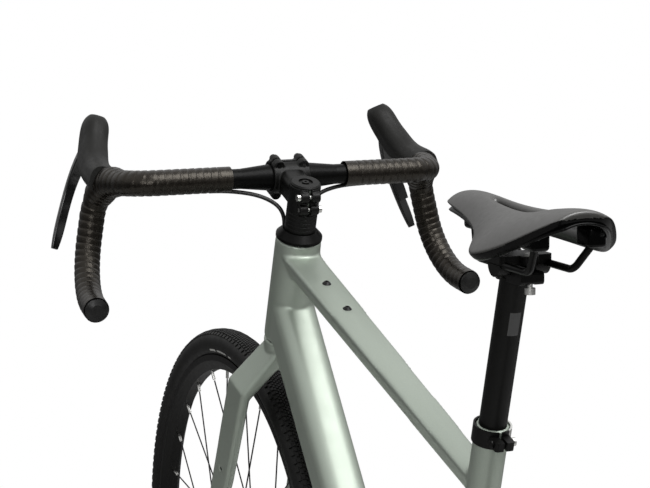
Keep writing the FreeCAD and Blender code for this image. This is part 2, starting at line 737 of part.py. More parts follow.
def head_cylinder():
    return cylinder(steer_at(HEAD_BASE - OVERRUN), steer_at(HEAD_TOP + OVERRUN), HEAD_TUBE_RADIUS)


def seat_cylinder():
    return cylinder(seat_at(0), seat_at(SEAT_TUBE_TOP), SEAT_TUBE_RADIUS)


def shell_cylinder():
    return cross_rod(BB_CENTRE, -BB_SHELL_WIDTH, BB_SHELL_WIDTH, BB_SHELL_RADIUS)


def top_tube_loop(foot, up, width, depth, inset):
    """A section with a low crown, crisp edges and a narrower rounded base."""
    half = width / 2 - inset
    base = width * TOP_TUBE_BASE_SHARE / 2 - inset
    outline = ((half, -inset), (base, inset - depth), (-base, inset - depth), (-half, -inset),
               (0, TOP_TUBE_CROWN - inset))
    radii = (TOP_TUBE_EDGE_RADIUS, TOP_TUBE_BASE_RADIUS, TOP_TUBE_BASE_RADIUS,
             TOP_TUBE_EDGE_RADIUS, TOP_TUBE_CROWN_RADIUS)
    return rounded_loop([foot + LEFT * x + up * y for x, y in outline], radii)


def top_tube_loft(inset):
    return loft([top_tube_loop(steer_at(TOP_TUBE_HEAD), STEER_UP, TOP_TUBE_HEAD_WIDTH,
                               TOP_TUBE_HEAD_DEPTH, inset),
                 top_tube_loop(seat_at(TOP_TUBE_SEAT), SEAT_UP, TOP_TUBE_SEAT_WIDTH,
                               TOP_TUBE_SEAT_DEPTH, inset)])


def top_tube_bolts():
    """Places and outward direction of the two bolts on the crown of the top tube."""
    front = steer_at(TOP_TUBE_HEAD + TOP_TUBE_CROWN)
    rear = seat_at(TOP_TUBE_SEAT + TOP_TUBE_CROWN)
    along = unit(rear - front)
    out = LEFT.cross(along)
    return [front + along * (TOP_BOLT_FROM_HEAD + k * BOLT_PITCH) for k in range(2)], out


def top_tube():
    body = top_tube_loft(0).cut(top_tube_loft(TUBE_WALL))
    spots, out = top_tube_bolts()
    for spot in spots:
        body = body.fuse(cylinder(spot - out * BUTTON_SINK, spot - out * BOSS_DEPTH, BOSS_RADIUS))
    for spot in spots:
        body = body.cut([cylinder(spot - out * BUTTON_SINK, spot + out * OVERRUN,
                                  BUTTON_RADIUS + SPOKE_HOLE_GAP),
                         cylinder(spot, spot - out * (BOSS_DEPTH + OVERRUN), THREAD_RADIUS)])
    body = body.cut([head_cylinder(), seat_cylinder()])
    return max(body.Solids, key=lambda solid: solid.Volume)


def frame_bolts():
    """Two button-head bolts in the top tube."""
    spots, out = top_tube_bolts()
    bolts = []
    for spot in spots:
        base = spot - out * BUTTON_SINK
        head = turned([(0, 0), (0, BUTTON_RADIUS), (BUTTON_HEIGHT / 3, BUTTON_RADIUS),
                       (BUTTON_HEIGHT, BUTTON_RADIUS / 2), (BUTTON_HEIGHT, 0)], base, out, LEFT)
        head = head.cut(cylinder(base + out * (BUTTON_HEIGHT / 2), base + out * OVERRUN,
                                 BUTTON_SOCKET_RADIUS))
        bolts.append(head.fuse(cylinder(base, base - out * (BOSS_DEPTH - BUTTON_SINK), THREAD_RADIUS)))
    return bolts


def down_tube_frame():
    """The head end of the down tube and the direction square to it, towards the top tube."""
    head = steer_at(DOWN_TUBE_HEAD)
    along = unit(BB_CENTRE - head)
    return head, LEFT.cross(along)


def down_tube_loft(inset):
    head, up = down_tube_frame()
    return loft([box_loop(head, LEFT, STEER_UP, DOWN_TUBE_HEAD_WIDTH - 2 * inset,
                          DOWN_TUBE_HEAD_SPAN - 2 * inset, DOWN_TUBE_RADIUS - inset),
                 box_loop(BB_CENTRE, LEFT, up, DOWN_TUBE_BB_WIDTH - 2 * inset,
                          DOWN_TUBE_BB_HEIGHT - 2 * inset, DOWN_TUBE_RADIUS - inset)])


def down_tube_bosses():
    """Places and outward direction of the bottle bosses on top of the down tube."""
    head, up = down_tube_frame()
    front = steer_at(DOWN_TUBE_HEAD + DOWN_TUBE_HEAD_SPAN / 2)
    rear = BB_CENTRE + up * (DOWN_TUBE_BB_HEIGHT / 2)
    way = unit(front - rear)
    return [rear + way * (DOWN_BOSS_FROM_BB + k * BOLT_PITCH) for k in range(2)], way.cross(LEFT)


def seat_tube_bosses():
    spots = [seat_at(SEAT_BOSS_FROM_BB + k * BOLT_PITCH, -SEAT_TUBE_RADIUS) for k in range(2)]
    return spots, SEAT_BEHIND * -1


def with_bosses(body, spots, out):
    """Threaded bosses set into a tube wall, open to the outside."""
    inserts = [cylinder(spot - out * (TUBE_WALL / 2), spot - out * BOSS_DEPTH, BOSS_RADIUS) for spot in spots]
    holes = [cylinder(spot + out * TUBE_WALL, spot - out * (BOSS_DEPTH + TUBE_WALL), THREAD_RADIUS)
             for spot in spots]
    return body.fuse(inserts).cut(holes)


def down_tube():
    body = down_tube_loft(0).cut(down_tube_loft(TUBE_WALL))
    body = with_bosses(body, *down_tube_bosses())
    body = body.cut([head_cylinder(), shell_cylinder(), seat_cylinder()])
    return max(body.Solids, key=lambda solid: solid.Volume)


def seat_tube():
    body = cylinder(seat_at(0), seat_at(SEAT_TUBE_TOP), SEAT_TUBE_RADIUS)
    sleeve = SEAT_TUBE_TOP - SEAT_TUBE_SLEEVE
    body = body.cut([cylinder(seat_at(-OVERRUN), seat_at(sleeve), SEAT_TUBE_BORE),
                     cylinder(seat_at(0), seat_at(SEAT_TUBE_TOP + OVERRUN), POST_RADIUS + RUNNING_GAP)])
    slot_low = SEAT_TUBE_TOP - SEAT_SLOT_LENGTH
    slot = slab(seat_at(SEAT_TUBE_TOP, SEAT_TUBE_RADIUS), LEFT, SEAT_UP, SEAT_SLOT_WIDTH,
                2 * SEAT_SLOT_LENGTH, SEAT_TUBE_RADIUS)
    keyhole = cylinder(seat_at(slot_low, POST_RADIUS / 2), seat_at(slot_low, OVERRUN), SEAT_SLOT_WIDTH)
    body = with_bosses(body.cut([slot, keyhole]), *seat_tube_bosses())
    body = body.cut(shell_cylinder())
    return max(body.Solids, key=lambda solid: solid.Volume)


def bottom_bracket_shell():
    return ring(BB_CENTRE - LEFT * (BB_SHELL_WIDTH / 2), BB_CENTRE + LEFT * (BB_SHELL_WIDTH / 2),
                BB_SHELL_RADIUS, BB_BORE)


def bottom_bracket_cups():
    """Bearing cups pressed into the shell, each with an outer flange."""
    cups = []
    for side in (1, -1):
        face = BB_CENTRE + LEFT * (side * BB_SHELL_WIDTH / 2)
        inside = face - LEFT * (side * BB_SHELL_WIDTH / 4)
        outside = face + LEFT * (side * CUP_WIDTH)
        body = cylinder(inside, face, BB_BORE).fuse(cylinder(face, outside, CUP_RADIUS))
        cups.append(body.cut(cylinder(inside - LEFT * (side * OVERRUN), outside + LEFT * (side * OVERRUN),
                                      SPINDLE_RADIUS + RUNNING_GAP)))
    return cups


def stay(start, end, shares, spreads, width, widths, height, heights):
    """One left rear stay, lofted through rounded sections."""
    along = unit(end - start)
    up = along.cross(LEFT)
    if up.z < 0:
        up = up * -1
    loops = []
    for k in range(len(shares)):
        centre = blend(start, end, shares[k]) + LEFT * (spreads[k] * DROPOUT_MIDDLE)
        across = width * widths[k]
        tall = height * heights[k]
        loops.append(box_loop(centre, LEFT, up, across, tall, min(across, tall) * STAY_CORNER_SHARE))
    return loft(loops, False)


def seatstay_end():
    return REAR_AXLE + UP * SEATSTAY_DROPOUT_RISE + AHEAD * SEATSTAY_DROPOUT_AHEAD


def hanger_point():
    return REAR_AXLE + AHEAD * HANGER_AHEAD - UP * HANGER_DROP


def dropouts():
    """Left and right dropout plates; the right one carries the hanger."""
    centre = REAR_AXLE + LEFT * DROPOUT_MIDDLE
    chain_end = blend(BB_CENTRE, REAR_AXLE, CHAINSTAY_SHARES[-2]) + LEFT * DROPOUT_MIDDLE
    chain_end = blend(centre, chain_end, DROPOUT_REACH_SHARE)
    top_end = seatstay_end() + LEFT * DROPOUT_MIDDLE
    body = strap(centre, chain_end, LEFT, DROPOUT_RADIUS, STAY_END_RADIUS, DROPOUT_THICKNESS)
    body = body.fuse(strap(centre, top_end, LEFT, DROPOUT_RADIUS, STAY_END_RADIUS, DROPOUT_THICKNESS))
    right = mirrored(body)
    hanger = hanger_point() - LEFT * DROPOUT_MIDDLE
    right = right.fuse(strap(REAR_AXLE - LEFT * DROPOUT_MIDDLE, hanger, LEFT, DROPOUT_RADIUS,
                             HANGER_RADIUS, DROPOUT_THICKNESS))
    bore = cross_rod(REAR_AXLE, -REAR_SPACING, REAR_SPACING, AXLE_RADIUS)
    bolt = cross_rod(hanger, -OVERRUN, OVERRUN, HANGER_BOLT_RADIUS)
    return [body.cut(bore).removeSplitter(), right.cut([bore, bolt]).removeSplitter()]


def rear_stays(plates):
    """Chainstays and seatstays, cut where they meet the tubes and the dropouts."""
    lower = stay(BB_CENTRE, REAR_AXLE, CHAINSTAY_SHARES, CHAINSTAY_SPREAD_SHARES, CHAINSTAY_WIDTH,
                 CHAINSTAY_WIDTH_SHARES, CHAINSTAY_HEIGHT, CHAINSTAY_HEIGHT_SHARES)
    upper = stay(seat_at(SEATSTAY_FOOT), seatstay_end(), SEATSTAY_SHARES, SEATSTAY_SPREAD_SHARES,
                 SEATSTAY_WIDTH, SEATSTAY_WIDTH_SHARES, SEATSTAY_HEIGHT, SEATSTAY_HEIGHT_SHARES)
    lower = [part.cut([shell_cylinder()] + plates) for part in (lower, mirrored(lower))]
    upper = [part.cut([seat_cylinder()] + plates) for part in (upper, mirrored(upper))]
    return [[max(part.Solids, key=lambda solid: solid.Volume) for part in pair] for pair in (lower, upper)]


def fork_crown():
    """The steerer, crown and the two arms that reach out to the blades."""
    race = BEARING_BORE - RUNNING_GAP
    outline = [(CROWN_BASE, 0), (CROWN_BASE, CROWN_BASE_RADIUS), (CROWN_SEAT, HEAD_TUBE_RADIUS),
               (CROWN_SEAT, race), (HEAD_BASE + BEARING_HEIGHT, race),
               (HEAD_BASE + STEERER_TAPER, STEERER_RADIUS), (STEM_TOP - SEAM_GAP, STEERER_RADIUS),
               (STEM_TOP - SEAM_GAP, 0)]
    body = turned(outline, STEER_FOOT, STEER_UP, STEER_AHEAD)
    arm = loft([crown_foot_loop(), shoulder_loop()])
    return body.fuse([arm, mirrored(arm)]).removeSplitter()


def crown_foot_loop():
    """The section where a crown arm starts, inside the crown."""
    outline = ((CROWN_ARM_HALF_DEPTH, CROWN_ARM_TOP), (-CROWN_ARM_HALF_DEPTH, CROWN_ARM_TOP),
               (-CROWN_ARM_HALF_DEPTH, CROWN_BASE), (CROWN_ARM_HALF_DEPTH, CROWN_BASE))
    corners = [steer_at(along, ahead, CROWN_ARM_FOOT) for ahead, along in outline]
    radius = (CROWN_ARM_TOP - CROWN_BASE) * BLADE_CORNER_SHARE
    return rounded_loop(corners, [radius] * len(corners))


def shoulder_loop():
    """The section where a left crown arm meets its blade."""
    middle = (SHOULDER_OUTER + SHOULDER_INNER) / 2
    middle_along = (SHOULDER_OUTER_ALONG + SHOULDER_INNER_ALONG) / 2
    out = (SHOULDER_OUTER - SHOULDER_INNER) / 2
    out_along = (SHOULDER_OUTER_ALONG - SHOULDER_INNER_ALONG) / 2
    outline = ((SHOULDER_HALF_DEPTH, 1), (-SHOULDER_HALF_DEPTH, BLADE_REAR_SHARE),
               (-SHOULDER_HALF_DEPTH, -BLADE_REAR_SHARE), (SHOULDER_HALF_DEPTH, -1))
    corners = [steer_at(middle_along + out_along * share, ahead, middle + out * share)
               for ahead, share in outline]
    radius = 2 * math.hypot(out, out_along) * BLADE_CORNER_SHARE
    return rounded_loop(corners, [radius] * len(corners))


def blade_ahead(along):
    """How far the straight blade leans ahead of the steering axis."""
    top = (SHOULDER_OUTER_ALONG + SHOULDER_INNER_ALONG) / 2
    return FORK_RAKE * (1 - along / top)


def blade_loop(along, left, thickness, depth):
    half = thickness / 2
    ahead = blade_ahead(along)
    outline = ((depth / 2, half), (-depth / 2, half * BLADE_REAR_SHARE),
               (-depth / 2, -half * BLADE_REAR_SHARE), (depth / 2, -half))
    corners = [steer_at(along, ahead + x, left + y) for x, y in outline]
    return rounded_loop(corners, [thickness * BLADE_CORNER_SHARE] * len(corners))


def blade_point(along, side):
    """A point in the left blade: 0 on its middle line, 1 on the middle of its outer face."""
    share = (BLADE_ALONG[0] - along) / (BLADE_ALONG[0] - BLADE_ALONG[1])
    left = blend(BLADE_LEFT[0], BLADE_LEFT[1], share)
    half = blend(BLADE_THICKNESS[0], BLADE_THICKNESS[1], share) / 2
    return steer_at(along, blade_ahead(along), left + half * side * (1 + BLADE_REAR_SHARE) / 2)


def blade_out(along):
    """Outward direction square to the outer face of the left blade, which narrows to the rear."""
    share = (BLADE_ALONG[0] - along) / (BLADE_ALONG[0] - BLADE_ALONG[1])
    half = blend(BLADE_THICKNESS[0], BLADE_THICKNESS[1], share) / 2
    depth = blend(BLADE_DEPTH[0], BLADE_DEPTH[1], share)
    return unit(LEFT * depth - STEER_AHEAD * (half * (1 - BLADE_REAR_SHARE)))


def fork_bosses():
    """Places and outward directions of the accessory holes in the outer face of the left blade."""
    alongs = [FORK_BOSS_ALONG - k * BOLT_PITCH for k in range(FORK_BOSS_COUNT)]
    return [(blade_point(along, 1), blade_out(along)) for along in alongs]


def fork_blade():
    """The left blade with its axle end."""
    loops = [shoulder_loop()]
    for k in range(len(BLADE_ALONG)):
        loops.append(blade_loop(BLADE_ALONG[k], BLADE_LEFT[k], BLADE_THICKNESS[k], BLADE_DEPTH[k]))
    inner = FRONT_SPACING / 2
    end = cross_rod(FRONT_AXLE, inner, inner + FORK_END_THICKNESS, FORK_END_RADIUS)
    link = strap(steer_at(BLADE_ALONG[1], blade_ahead(BLADE_ALONG[1]), inner + FORK_END_THICKNESS / 2),
                 FRONT_AXLE + LEFT * (inner + FORK_END_THICKNESS / 2), LEFT,
                 BLADE_DEPTH[1] / 2, FORK_END_RADIUS, FORK_END_THICKNESS)
    body = loft(loops).fuse([link, end]).removeSplitter()
    holes = [cylinder(spot + out * OVERRUN, spot - out * FORK_BOSS_DEPTH, THREAD_RADIUS)
             for spot, out in fork_bosses()]
    return body.cut(holes + [cross_rod(FRONT_AXLE, 0, FRONT_SPACING, AXLE_RADIUS)])


def headset_cover(hoses):
    """The cone over the upper bearing, with a collar inside it and bores for the hoses."""
    collar = BEARING_BORE - RUNNING_GAP
    depth = BEARING_HEIGHT
    outline = [(-depth, STEERER_RADIUS), (-depth, collar), (0, collar), (0, COVER_RADIUS),
               (COVER_LIP, COVER_RADIUS), (COVER_HEIGHT, COVER_TOP_RADIUS), (COVER_HEIGHT, STEERER_RADIUS)]
    return turned(outline, steer_at(COVER_BASE), STEER_UP, STEER_AHEAD).cut(hoses)


def headset_spacers():
    spacers = []
    for k in range(SPACER_COUNT):
        outline = [(0, STEERER_RADIUS), (0, SPACER_RADIUS - SPACER_EDGE), (SPACER_EDGE, SPACER_RADIUS),
                   (SPACER_HEIGHT - SPACER_EDGE, SPACER_RADIUS), (SPACER_HEIGHT, SPACER_RADIUS - SPACER_EDGE),
                   (SPACER_HEIGHT, STEERER_RADIUS)]
        spacers.append(turned(outline, steer_at(SPACER_BASE + k * SPACER_HEIGHT), STEER_UP, STEER_AHEAD))
    return spacers


def pinch_points():
    """Centres of the two pinch bolts behind the steerer."""
    return [steer_at(STEM_BASE + PINCH_INSET, -PINCH_BEHIND), steer_at(STEM_TOP - PINCH_INSET, -PINCH_BEHIND)]


def faceplate_points():
    """Places of the four faceplate bolts in the plane of the bar."""
    return [BAR_CENTRE + STEER_UP * (rise * STEM_LUG_RISE) + LEFT * (side * STEM_LUG_SPREAD)
            for rise in (1, -1) for side in (1, -1)]


def stem_blank():
    """The stem and faceplate in one piece, before the bores and the split."""
    clamp = cylinder(steer_at(STEM_BASE), steer_at(STEM_TOP), STEM_CLAMP_RADIUS)
    neck = loft([box_loop(steer_at(STEM_MIDDLE), LEFT, STEER_UP, STEM_NECK_WIDTH, STEM_NECK_HEIGHT,
                          STEM_NECK_CORNER),
                 box_loop(BAR_CENTRE, LEFT, STEER_UP, STEM_NECK_WIDTH, STEM_NECK_HEIGHT, STEM_NECK_CORNER)])
    bar_clamp = cross_rod(BAR_CENTRE, -BAR_CLAMP_WIDTH / 2, BAR_CLAMP_WIDTH / 2, BAR_CLAMP_RADIUS)
    lugs = [cylinder(spot - STEER_AHEAD * STEM_LUG_REACH, spot + STEER_AHEAD * STEM_LUG_REACH, STEM_LUG_RADIUS)
            for spot in faceplate_points()]
    lugs += [cross_rod(spot, -PINCH_LUG_LENGTH / 2, PINCH_LUG_LENGTH / 2, PINCH_LUG_RADIUS)
             for spot in pinch_points()]
    return clamp.fuse([neck, bar_clamp] + lugs).removeSplitter()


def stem_bores():
    bores = [cylinder(steer_at(STEM_BASE - OVERRUN), steer_at(STEM_TOP + OVERRUN), STEERER_RADIUS),
             cross_rod(BAR_CENTRE, -BAR_CLAMP_WIDTH, BAR_CLAMP_WIDTH, BAR_CENTRE_RADIUS)]
    for spot in faceplate_points():
        face = spot + STEER_AHEAD * STEM_LUG_REACH
        bores += [cylinder(spot - STEER_AHEAD * STEM_LUG_REACH, face, STEM_BOLT_RADIUS),
                  cylinder(face, face + STEER_AHEAD * OVERRUN, STEM_BOLT_HEAD_RADIUS)]
    for spot, side in zip(pinch_points(), (-1, 1)):
        bores += [cross_rod(spot, -OVERRUN, OVERRUN, STEM_BOLT_RADIUS),
                  cross_rod(spot, side * PINCH_LUG_LENGTH / 2, side * OVERRUN, STEM_BOLT_HEAD_RADIUS)]
    bores.append(slab(steer_at(STEM_MIDDLE, -STEM_CLAMP_RADIUS), LEFT, STEER_UP, STEM_SLOT_WIDTH,
                      2 * STEM_CLAMP_HEIGHT, STEM_CLAMP_RADIUS))
    return bores


def stem_and_faceplate():
    """The stem and its faceplate, split along the bar."""
    body = stem_blank().cut(stem_bores())
    gap = BAR_CLAMP_SPLIT / 2
    reach = BAR_CLAMP_RADIUS + OVERRUN
    front = slab(BAR_CENTRE + STEER_AHEAD * (reach + gap), LEFT, STEER_UP, 4 * reach, 4 * reach, 2 * reach)
    rear = slab(BAR_CENTRE + STEER_AHEAD * (reach - gap), LEFT, STEER_UP, 4 * reach, 4 * reach, 2 * reach)
    return body.cut(rear), body.common(front)


def stem_bolts():
    bolts = []
    for spot in faceplate_points():
        end = spot + STEER_AHEAD * STEM_LUG_REACH
        body = cylinder(spot - STEER_AHEAD * STEM_LUG_REACH, end, STEM_BOLT_RADIUS)
        head = ring(end, end + STEER_AHEAD * STEM_BOLT_HEAD_HEIGHT, STEM_BOLT_HEAD_RADIUS, BUTTON_SOCKET_RADIUS)
        bolts.append(body.fuse(head))
    for spot, side in zip(pinch_points(), (-1, 1)):
        end = spot + LEFT * (side * PINCH_LUG_LENGTH / 2)
        body = cylinder(spot - LEFT * (side * PINCH_LUG_LENGTH / 2), end, STEM_BOLT_RADIUS)
        head = ring(end, end + LEFT * (side * STEM_BOLT_HEAD_HEIGHT), STEM_BOLT_HEAD_RADIUS, BUTTON_SOCKET_RADIUS)
        bolts.append(body.fuse(head))
    return bolts


def steerer_top_cap():
    """The cap on the steerer with a recessed bolt head."""
    outline = [(0, 0), (0, TOP_CAP_RADIUS), (TOP_CAP_HEIGHT / 2, TOP_CAP_RADIUS),
               (TOP_CAP_HEIGHT, TOP_CAP_RADIUS - TOP_CAP_HEIGHT / 2), (TOP_CAP_HEIGHT, TOP_CAP_RECESS_RADIUS),
               (TOP_CAP_HEIGHT - TOP_CAP_RECESS, TOP_CAP_RECESS_RADIUS), (TOP_CAP_HEIGHT - TOP_CAP_RECESS, 0)]
    cap = turned(outline, steer_at(STEM_TOP), STEER_UP, STEER_AHEAD)
    floor = STEM_TOP + TOP_CAP_HEIGHT - TOP_CAP_RECESS
    bolt = ring(steer_at(floor), steer_at(floor + TOP_CAP_RECESS), STEM_BOLT_HEAD_RADIUS, BUTTON_SOCKET_RADIUS)
    return [cap, bolt]


def bar_points(start_left):
    """Corner points of the left half of the bar, from a start on its flat top."""
    corner = BAR_CENTRE + LEFT * BAR_HALF_WIDTH
    ramp = corner + AHEAD * BAR_REACH - UP * BAR_RAMP_DROP + LEFT * BAR_RAMP_FLARE
    hook = ramp - UP * (BAR_HOOK_DROP - BAR_RAMP_DROP) - AHEAD * BAR_HOOK_BACK + LEFT * BAR_HOOK_FLARE
    end = hook - AHEAD * BAR_END_BACK - UP * BAR_END_DROP + LEFT * BAR_END_FLARE
    return [BAR_CENTRE + LEFT * start_left, corner, ramp, hook, end]


def bar_rod(start_left, radius):
    return rod(bar_points(start_left), (BAR_CORNER_RADIUS, BAR_HOOK_RADIUS, BAR_DROP_RADIUS), radius)


def handlebar():
    """The drop bar: a thick centre, tapers and two bent ends, hollow throughout."""
    half = [(0, 0), (0, BAR_CENTRE_RADIUS), (BAR_CENTRE_HALF, BAR_CENTRE_RADIUS),
            (BAR_TAPER_END, BAR_RADIUS), (BAR_TAPER_END, 0)]
    centre = turned(half, BAR_CENTRE, LEFT, UP)
    side = bar_rod(BAR_CENTRE_HALF, BAR_RADIUS).fuse(centre)
    bore = bar_rod(0, BAR_RADIUS - BAR_WALL)
    return side.fuse(mirrored(side)).removeSplitter().cut([bore, mirrored(bore)])


def bar_tape(hoses):
    """Tape sleeve on the left half of the bar."""
    return bar_rod(TAPE_START, TAPE_RADIUS).cut([bar_rod(0, BAR_RADIUS)] + hoses)


def bar_end_plug():
    points = bar_points(0)
    end = points[-1]
    out = unit(points[-1] - points[-2])
    outline = [(-PLUG_DEPTH, 0), (-PLUG_DEPTH, BAR_RADIUS - BAR_WALL), (0, BAR_RADIUS - BAR_WALL),
               (0, TAPE_RADIUS - PLUG_RIM), (PLUG_FLANGE, TAPE_RADIUS - PLUG_RIM),
               (PLUG_FLANGE + PLUG_DOME, TAPE_RADIUS / 2), (PLUG_FLANGE + PLUG_DOME, 0)]
    return turned(outline, end, out, unit(out.cross(UP)))


HOOD_TURN = math.radians(HOOD_LEAN)
HOOD_UP = Vector(0, -math.sin(HOOD_TURN), math.cos(HOOD_TURN))
HOOD_OUT = Vector(0, math.cos(HOOD_TURN), math.sin(HOOD_TURN))
HOOD_CENTRE = BAR_CENTRE + AHEAD * HOOD_AHEAD + LEFT * (BAR_HALF_WIDTH + BAR_RAMP_FLARE)


def hood_at(ahead_share, rise_share):
    return HOOD_CENTRE + AHEAD * (HOOD_LENGTH * ahead_share) + HOOD_UP * (HOOD_LENGTH * rise_share)


def hood_loops(aheads, rises, tilts, widths, heights, corner):
    """Rounded sections along a curve in the plane of the hood."""
    loops = []
    for k in range(len(aheads)):
        turn = math.radians(tilts[k])
        up = HOOD_UP * math.cos(turn) - AHEAD * math.sin(turn)
        small = min(widths[k], heights[k])
        loops.append(box_loop(hood_at(aheads[k], rises[k]), HOOD_OUT, up, widths[k], heights[k],
                              small * corner))
    return loops


def scaled(size, shares):
    return [size * share for share in shares]


def lever_pivot():
    return hood_at(LEVER_PIVOT_AHEAD_SHARE, LEVER_PIVOT_RISE_SHARE)


def lever_hood():
    """The left hood with the pocket and the pivot pin of its lever."""
    body = loft(hood_loops(HOOD_AHEAD_SHARES, HOOD_RISE_SHARES, HOOD_TILTS,
                           scaled(HOOD_WIDTH, HOOD_WIDTH_SHARES), scaled(HOOD_WIDTH, HOOD_HEIGHT_SHARES),
                           HOOD_CORNER_SHARE), False)
    low = hood_at(LEVER_POCKET_BACK_SHARE, LEVER_POCKET_TOP_SHARE)
    pocket = slab(low + AHEAD * (HOOD_LENGTH / 2) - HOOD_UP * (HOOD_LENGTH / 2), AHEAD, HOOD_UP,
                  HOOD_LENGTH, HOOD_LENGTH, LEVER_WIDTH + 2 * LEVER_POCKET_GAP)
    body = body.cut([pocket, bar_rod(0, TAPE_RADIUS)])
    pin_half = HOOD_OUT * (LEVER_WIDTH / 2 + LEVER_POCKET_GAP)
    pin = cylinder(lever_pivot() - pin_half, lever_pivot() + pin_half, LEVER_PIN_RADIUS)
    return max(body.Solids, key=lambda solid: solid.Volume).fuse(pin)


def brake_lever():
    """The left lever blade, bored for its pivot pin."""
    body = loft(hood_loops(LEVER_AHEAD_SHARES, LEVER_RISE_SHARES, LEVER_TILTS,
                           scaled(LEVER_WIDTH, LEVER_WIDTH_SHARES), scaled(LEVER_WIDTH, LEVER_THICKNESS_SHARES),
                           LEVER_CORNER_SHARE), False)
    pivot = lever_pivot()
    half = HOOD_OUT * (LEVER_WIDTH / 2 + LEVER_POCKET_GAP / 2)
    body = body.fuse(cylinder(pivot - half, pivot + half, LEVER_PIN_RADIUS * 2)).removeSplitter()
    return body.cut(cylinder(pivot - half * 2, pivot + half * 2, LEVER_PIN_RADIUS + RUNNING_GAP))


def paddle_pivot():
    return hood_at(PADDLE_AHEAD_SHARES[0], PADDLE_RISE_SHARE)


def shift_paddle():
    """The paddle behind a lever, with a bore for its pin."""
    thicknesses = [PADDLE_THICKNESS] * len(PADDLE_TILTS)
    body = loft(hood_loops(PADDLE_AHEAD_SHARES, PADDLE_RISE_SHARES, PADDLE_TILTS,
                           scaled(LEVER_WIDTH, PADDLE_WIDTH_SHARES), thicknesses, LEVER_CORNER_SHARE), False)
    return body.cut(cylinder(paddle_pivot() - AHEAD * OVERRUN, paddle_pivot() + AHEAD * OVERRUN,
                             PADDLE_PIN_RADIUS + RUNNING_GAP))


def hose_points(side, entry_left):
    """A hose from under the tape to the headset cover."""
    lift = BAR_RADIUS + HOSE_RADIUS + RUNNING_GAP
    under = BAR_CENTRE - STEER_UP * lift
    entry = steer_at(COVER_BASE + COVER_ENTRY_RISE, COVER_ENTRY_AHEAD, entry_left)
    sink = entry - STEER_UP * COVER_ENTRY_DEPTH
    middle = steer_at(STEM_MIDDLE - HOSE_MID_DROP, HOSE_MID_AHEAD, side * HOSE_MID_LEFT)
    above = entry + STEER_UP * HOSE_ENTRY_RUN
    return [under + LEFT * (side * (TAPE_START + HOSE_HIDDEN)), under + LEFT * (side * TAPE_START),
            middle, above, sink]


def wide_radii(points):
    """The widest bend at each inner point that leaves its neighbours their share of the runs."""
    radii = []
    for k in range(1, len(points) - 1):
        back = points[k - 1] - points[k]
        onward = points[k + 1] - points[k]
        reach = HOSE_ARC_SHARE * min(back.Length, onward.Length)
        radii.append(reach * math.tan(back.getAngle(onward) / 2))
    return radii


def cockpit_hoses():
    """One hose from each lever, ending in the headset cover."""
    hoses = []
    for side, entry_left in ((1, COVER_ENTRY_LEFT), (-1, -COVER_ENTRY_LEFT)):
        points = hose_points(side, entry_left)
        hoses.append(rod(points, wide_radii(points), HOSE_RADIUS))
    return hoses


def seat_clamp():
    """The split collar with its bolt and nut."""
    top = SEAT_TUBE_TOP
    low = top - COLLAR_HEIGHT
    ear = seat_at(top - COLLAR_HEIGHT / 2, COLLAR_RADIUS + COLLAR_EAR_RADIUS / 2)
    body = cylinder(seat_at(low), seat_at(top), COLLAR_RADIUS)
    body = body.fuse(rounded_slab(ear, LEFT, SEAT_BEHIND, COLLAR_EAR_WIDTH, 3 * COLLAR_EAR_RADIUS,
                                  COLLAR_HEIGHT / 2, COLLAR_EAR_RADIUS / 2))
    slot = slab(seat_at(top, COLLAR_RADIUS + OVERRUN / 2), LEFT, SEAT_UP, SEAT_SLOT_WIDTH, 4 * COLLAR_HEIGHT,
                OVERRUN + SEAT_TUBE_RADIUS)
    bolt_line = cross_rod(ear, -OVERRUN, OVERRUN, STEM_BOLT_RADIUS)
    body = body.cut([cylinder(seat_at(low - OVERRUN), seat_at(top + OVERRUN), SEAT_TUBE_RADIUS), slot, bolt_line])
    half = COLLAR_EAR_WIDTH / 2
    bolt = cross_rod(ear, -half, half, STEM_BOLT_RADIUS)
    bolt = bolt.fuse([cross_rod(ear, -half - STEM_BOLT_HEAD_HEIGHT, -half, STEM_BOLT_HEAD_RADIUS),
                      cross_rod(ear, half, half + STEM_BOLT_HEAD_HEIGHT / 2, STEM_BOLT_HEAD_RADIUS)])
    return [body, bolt.removeSplitter()]


def rail_centre():
    """The point under the saddle round which the clamp tilts."""
    along = RAIL_HEIGHT / math.sin(SEAT_TURN)
    return seat_at(along) + AHEAD * RAIL_AHEAD


def clamp_bolt_spots():
    return [rail_centre() + AHEAD * CLAMP_BOLT_OFFSET, rail_centre() - AHEAD * CLAMP_BOLT_OFFSET]


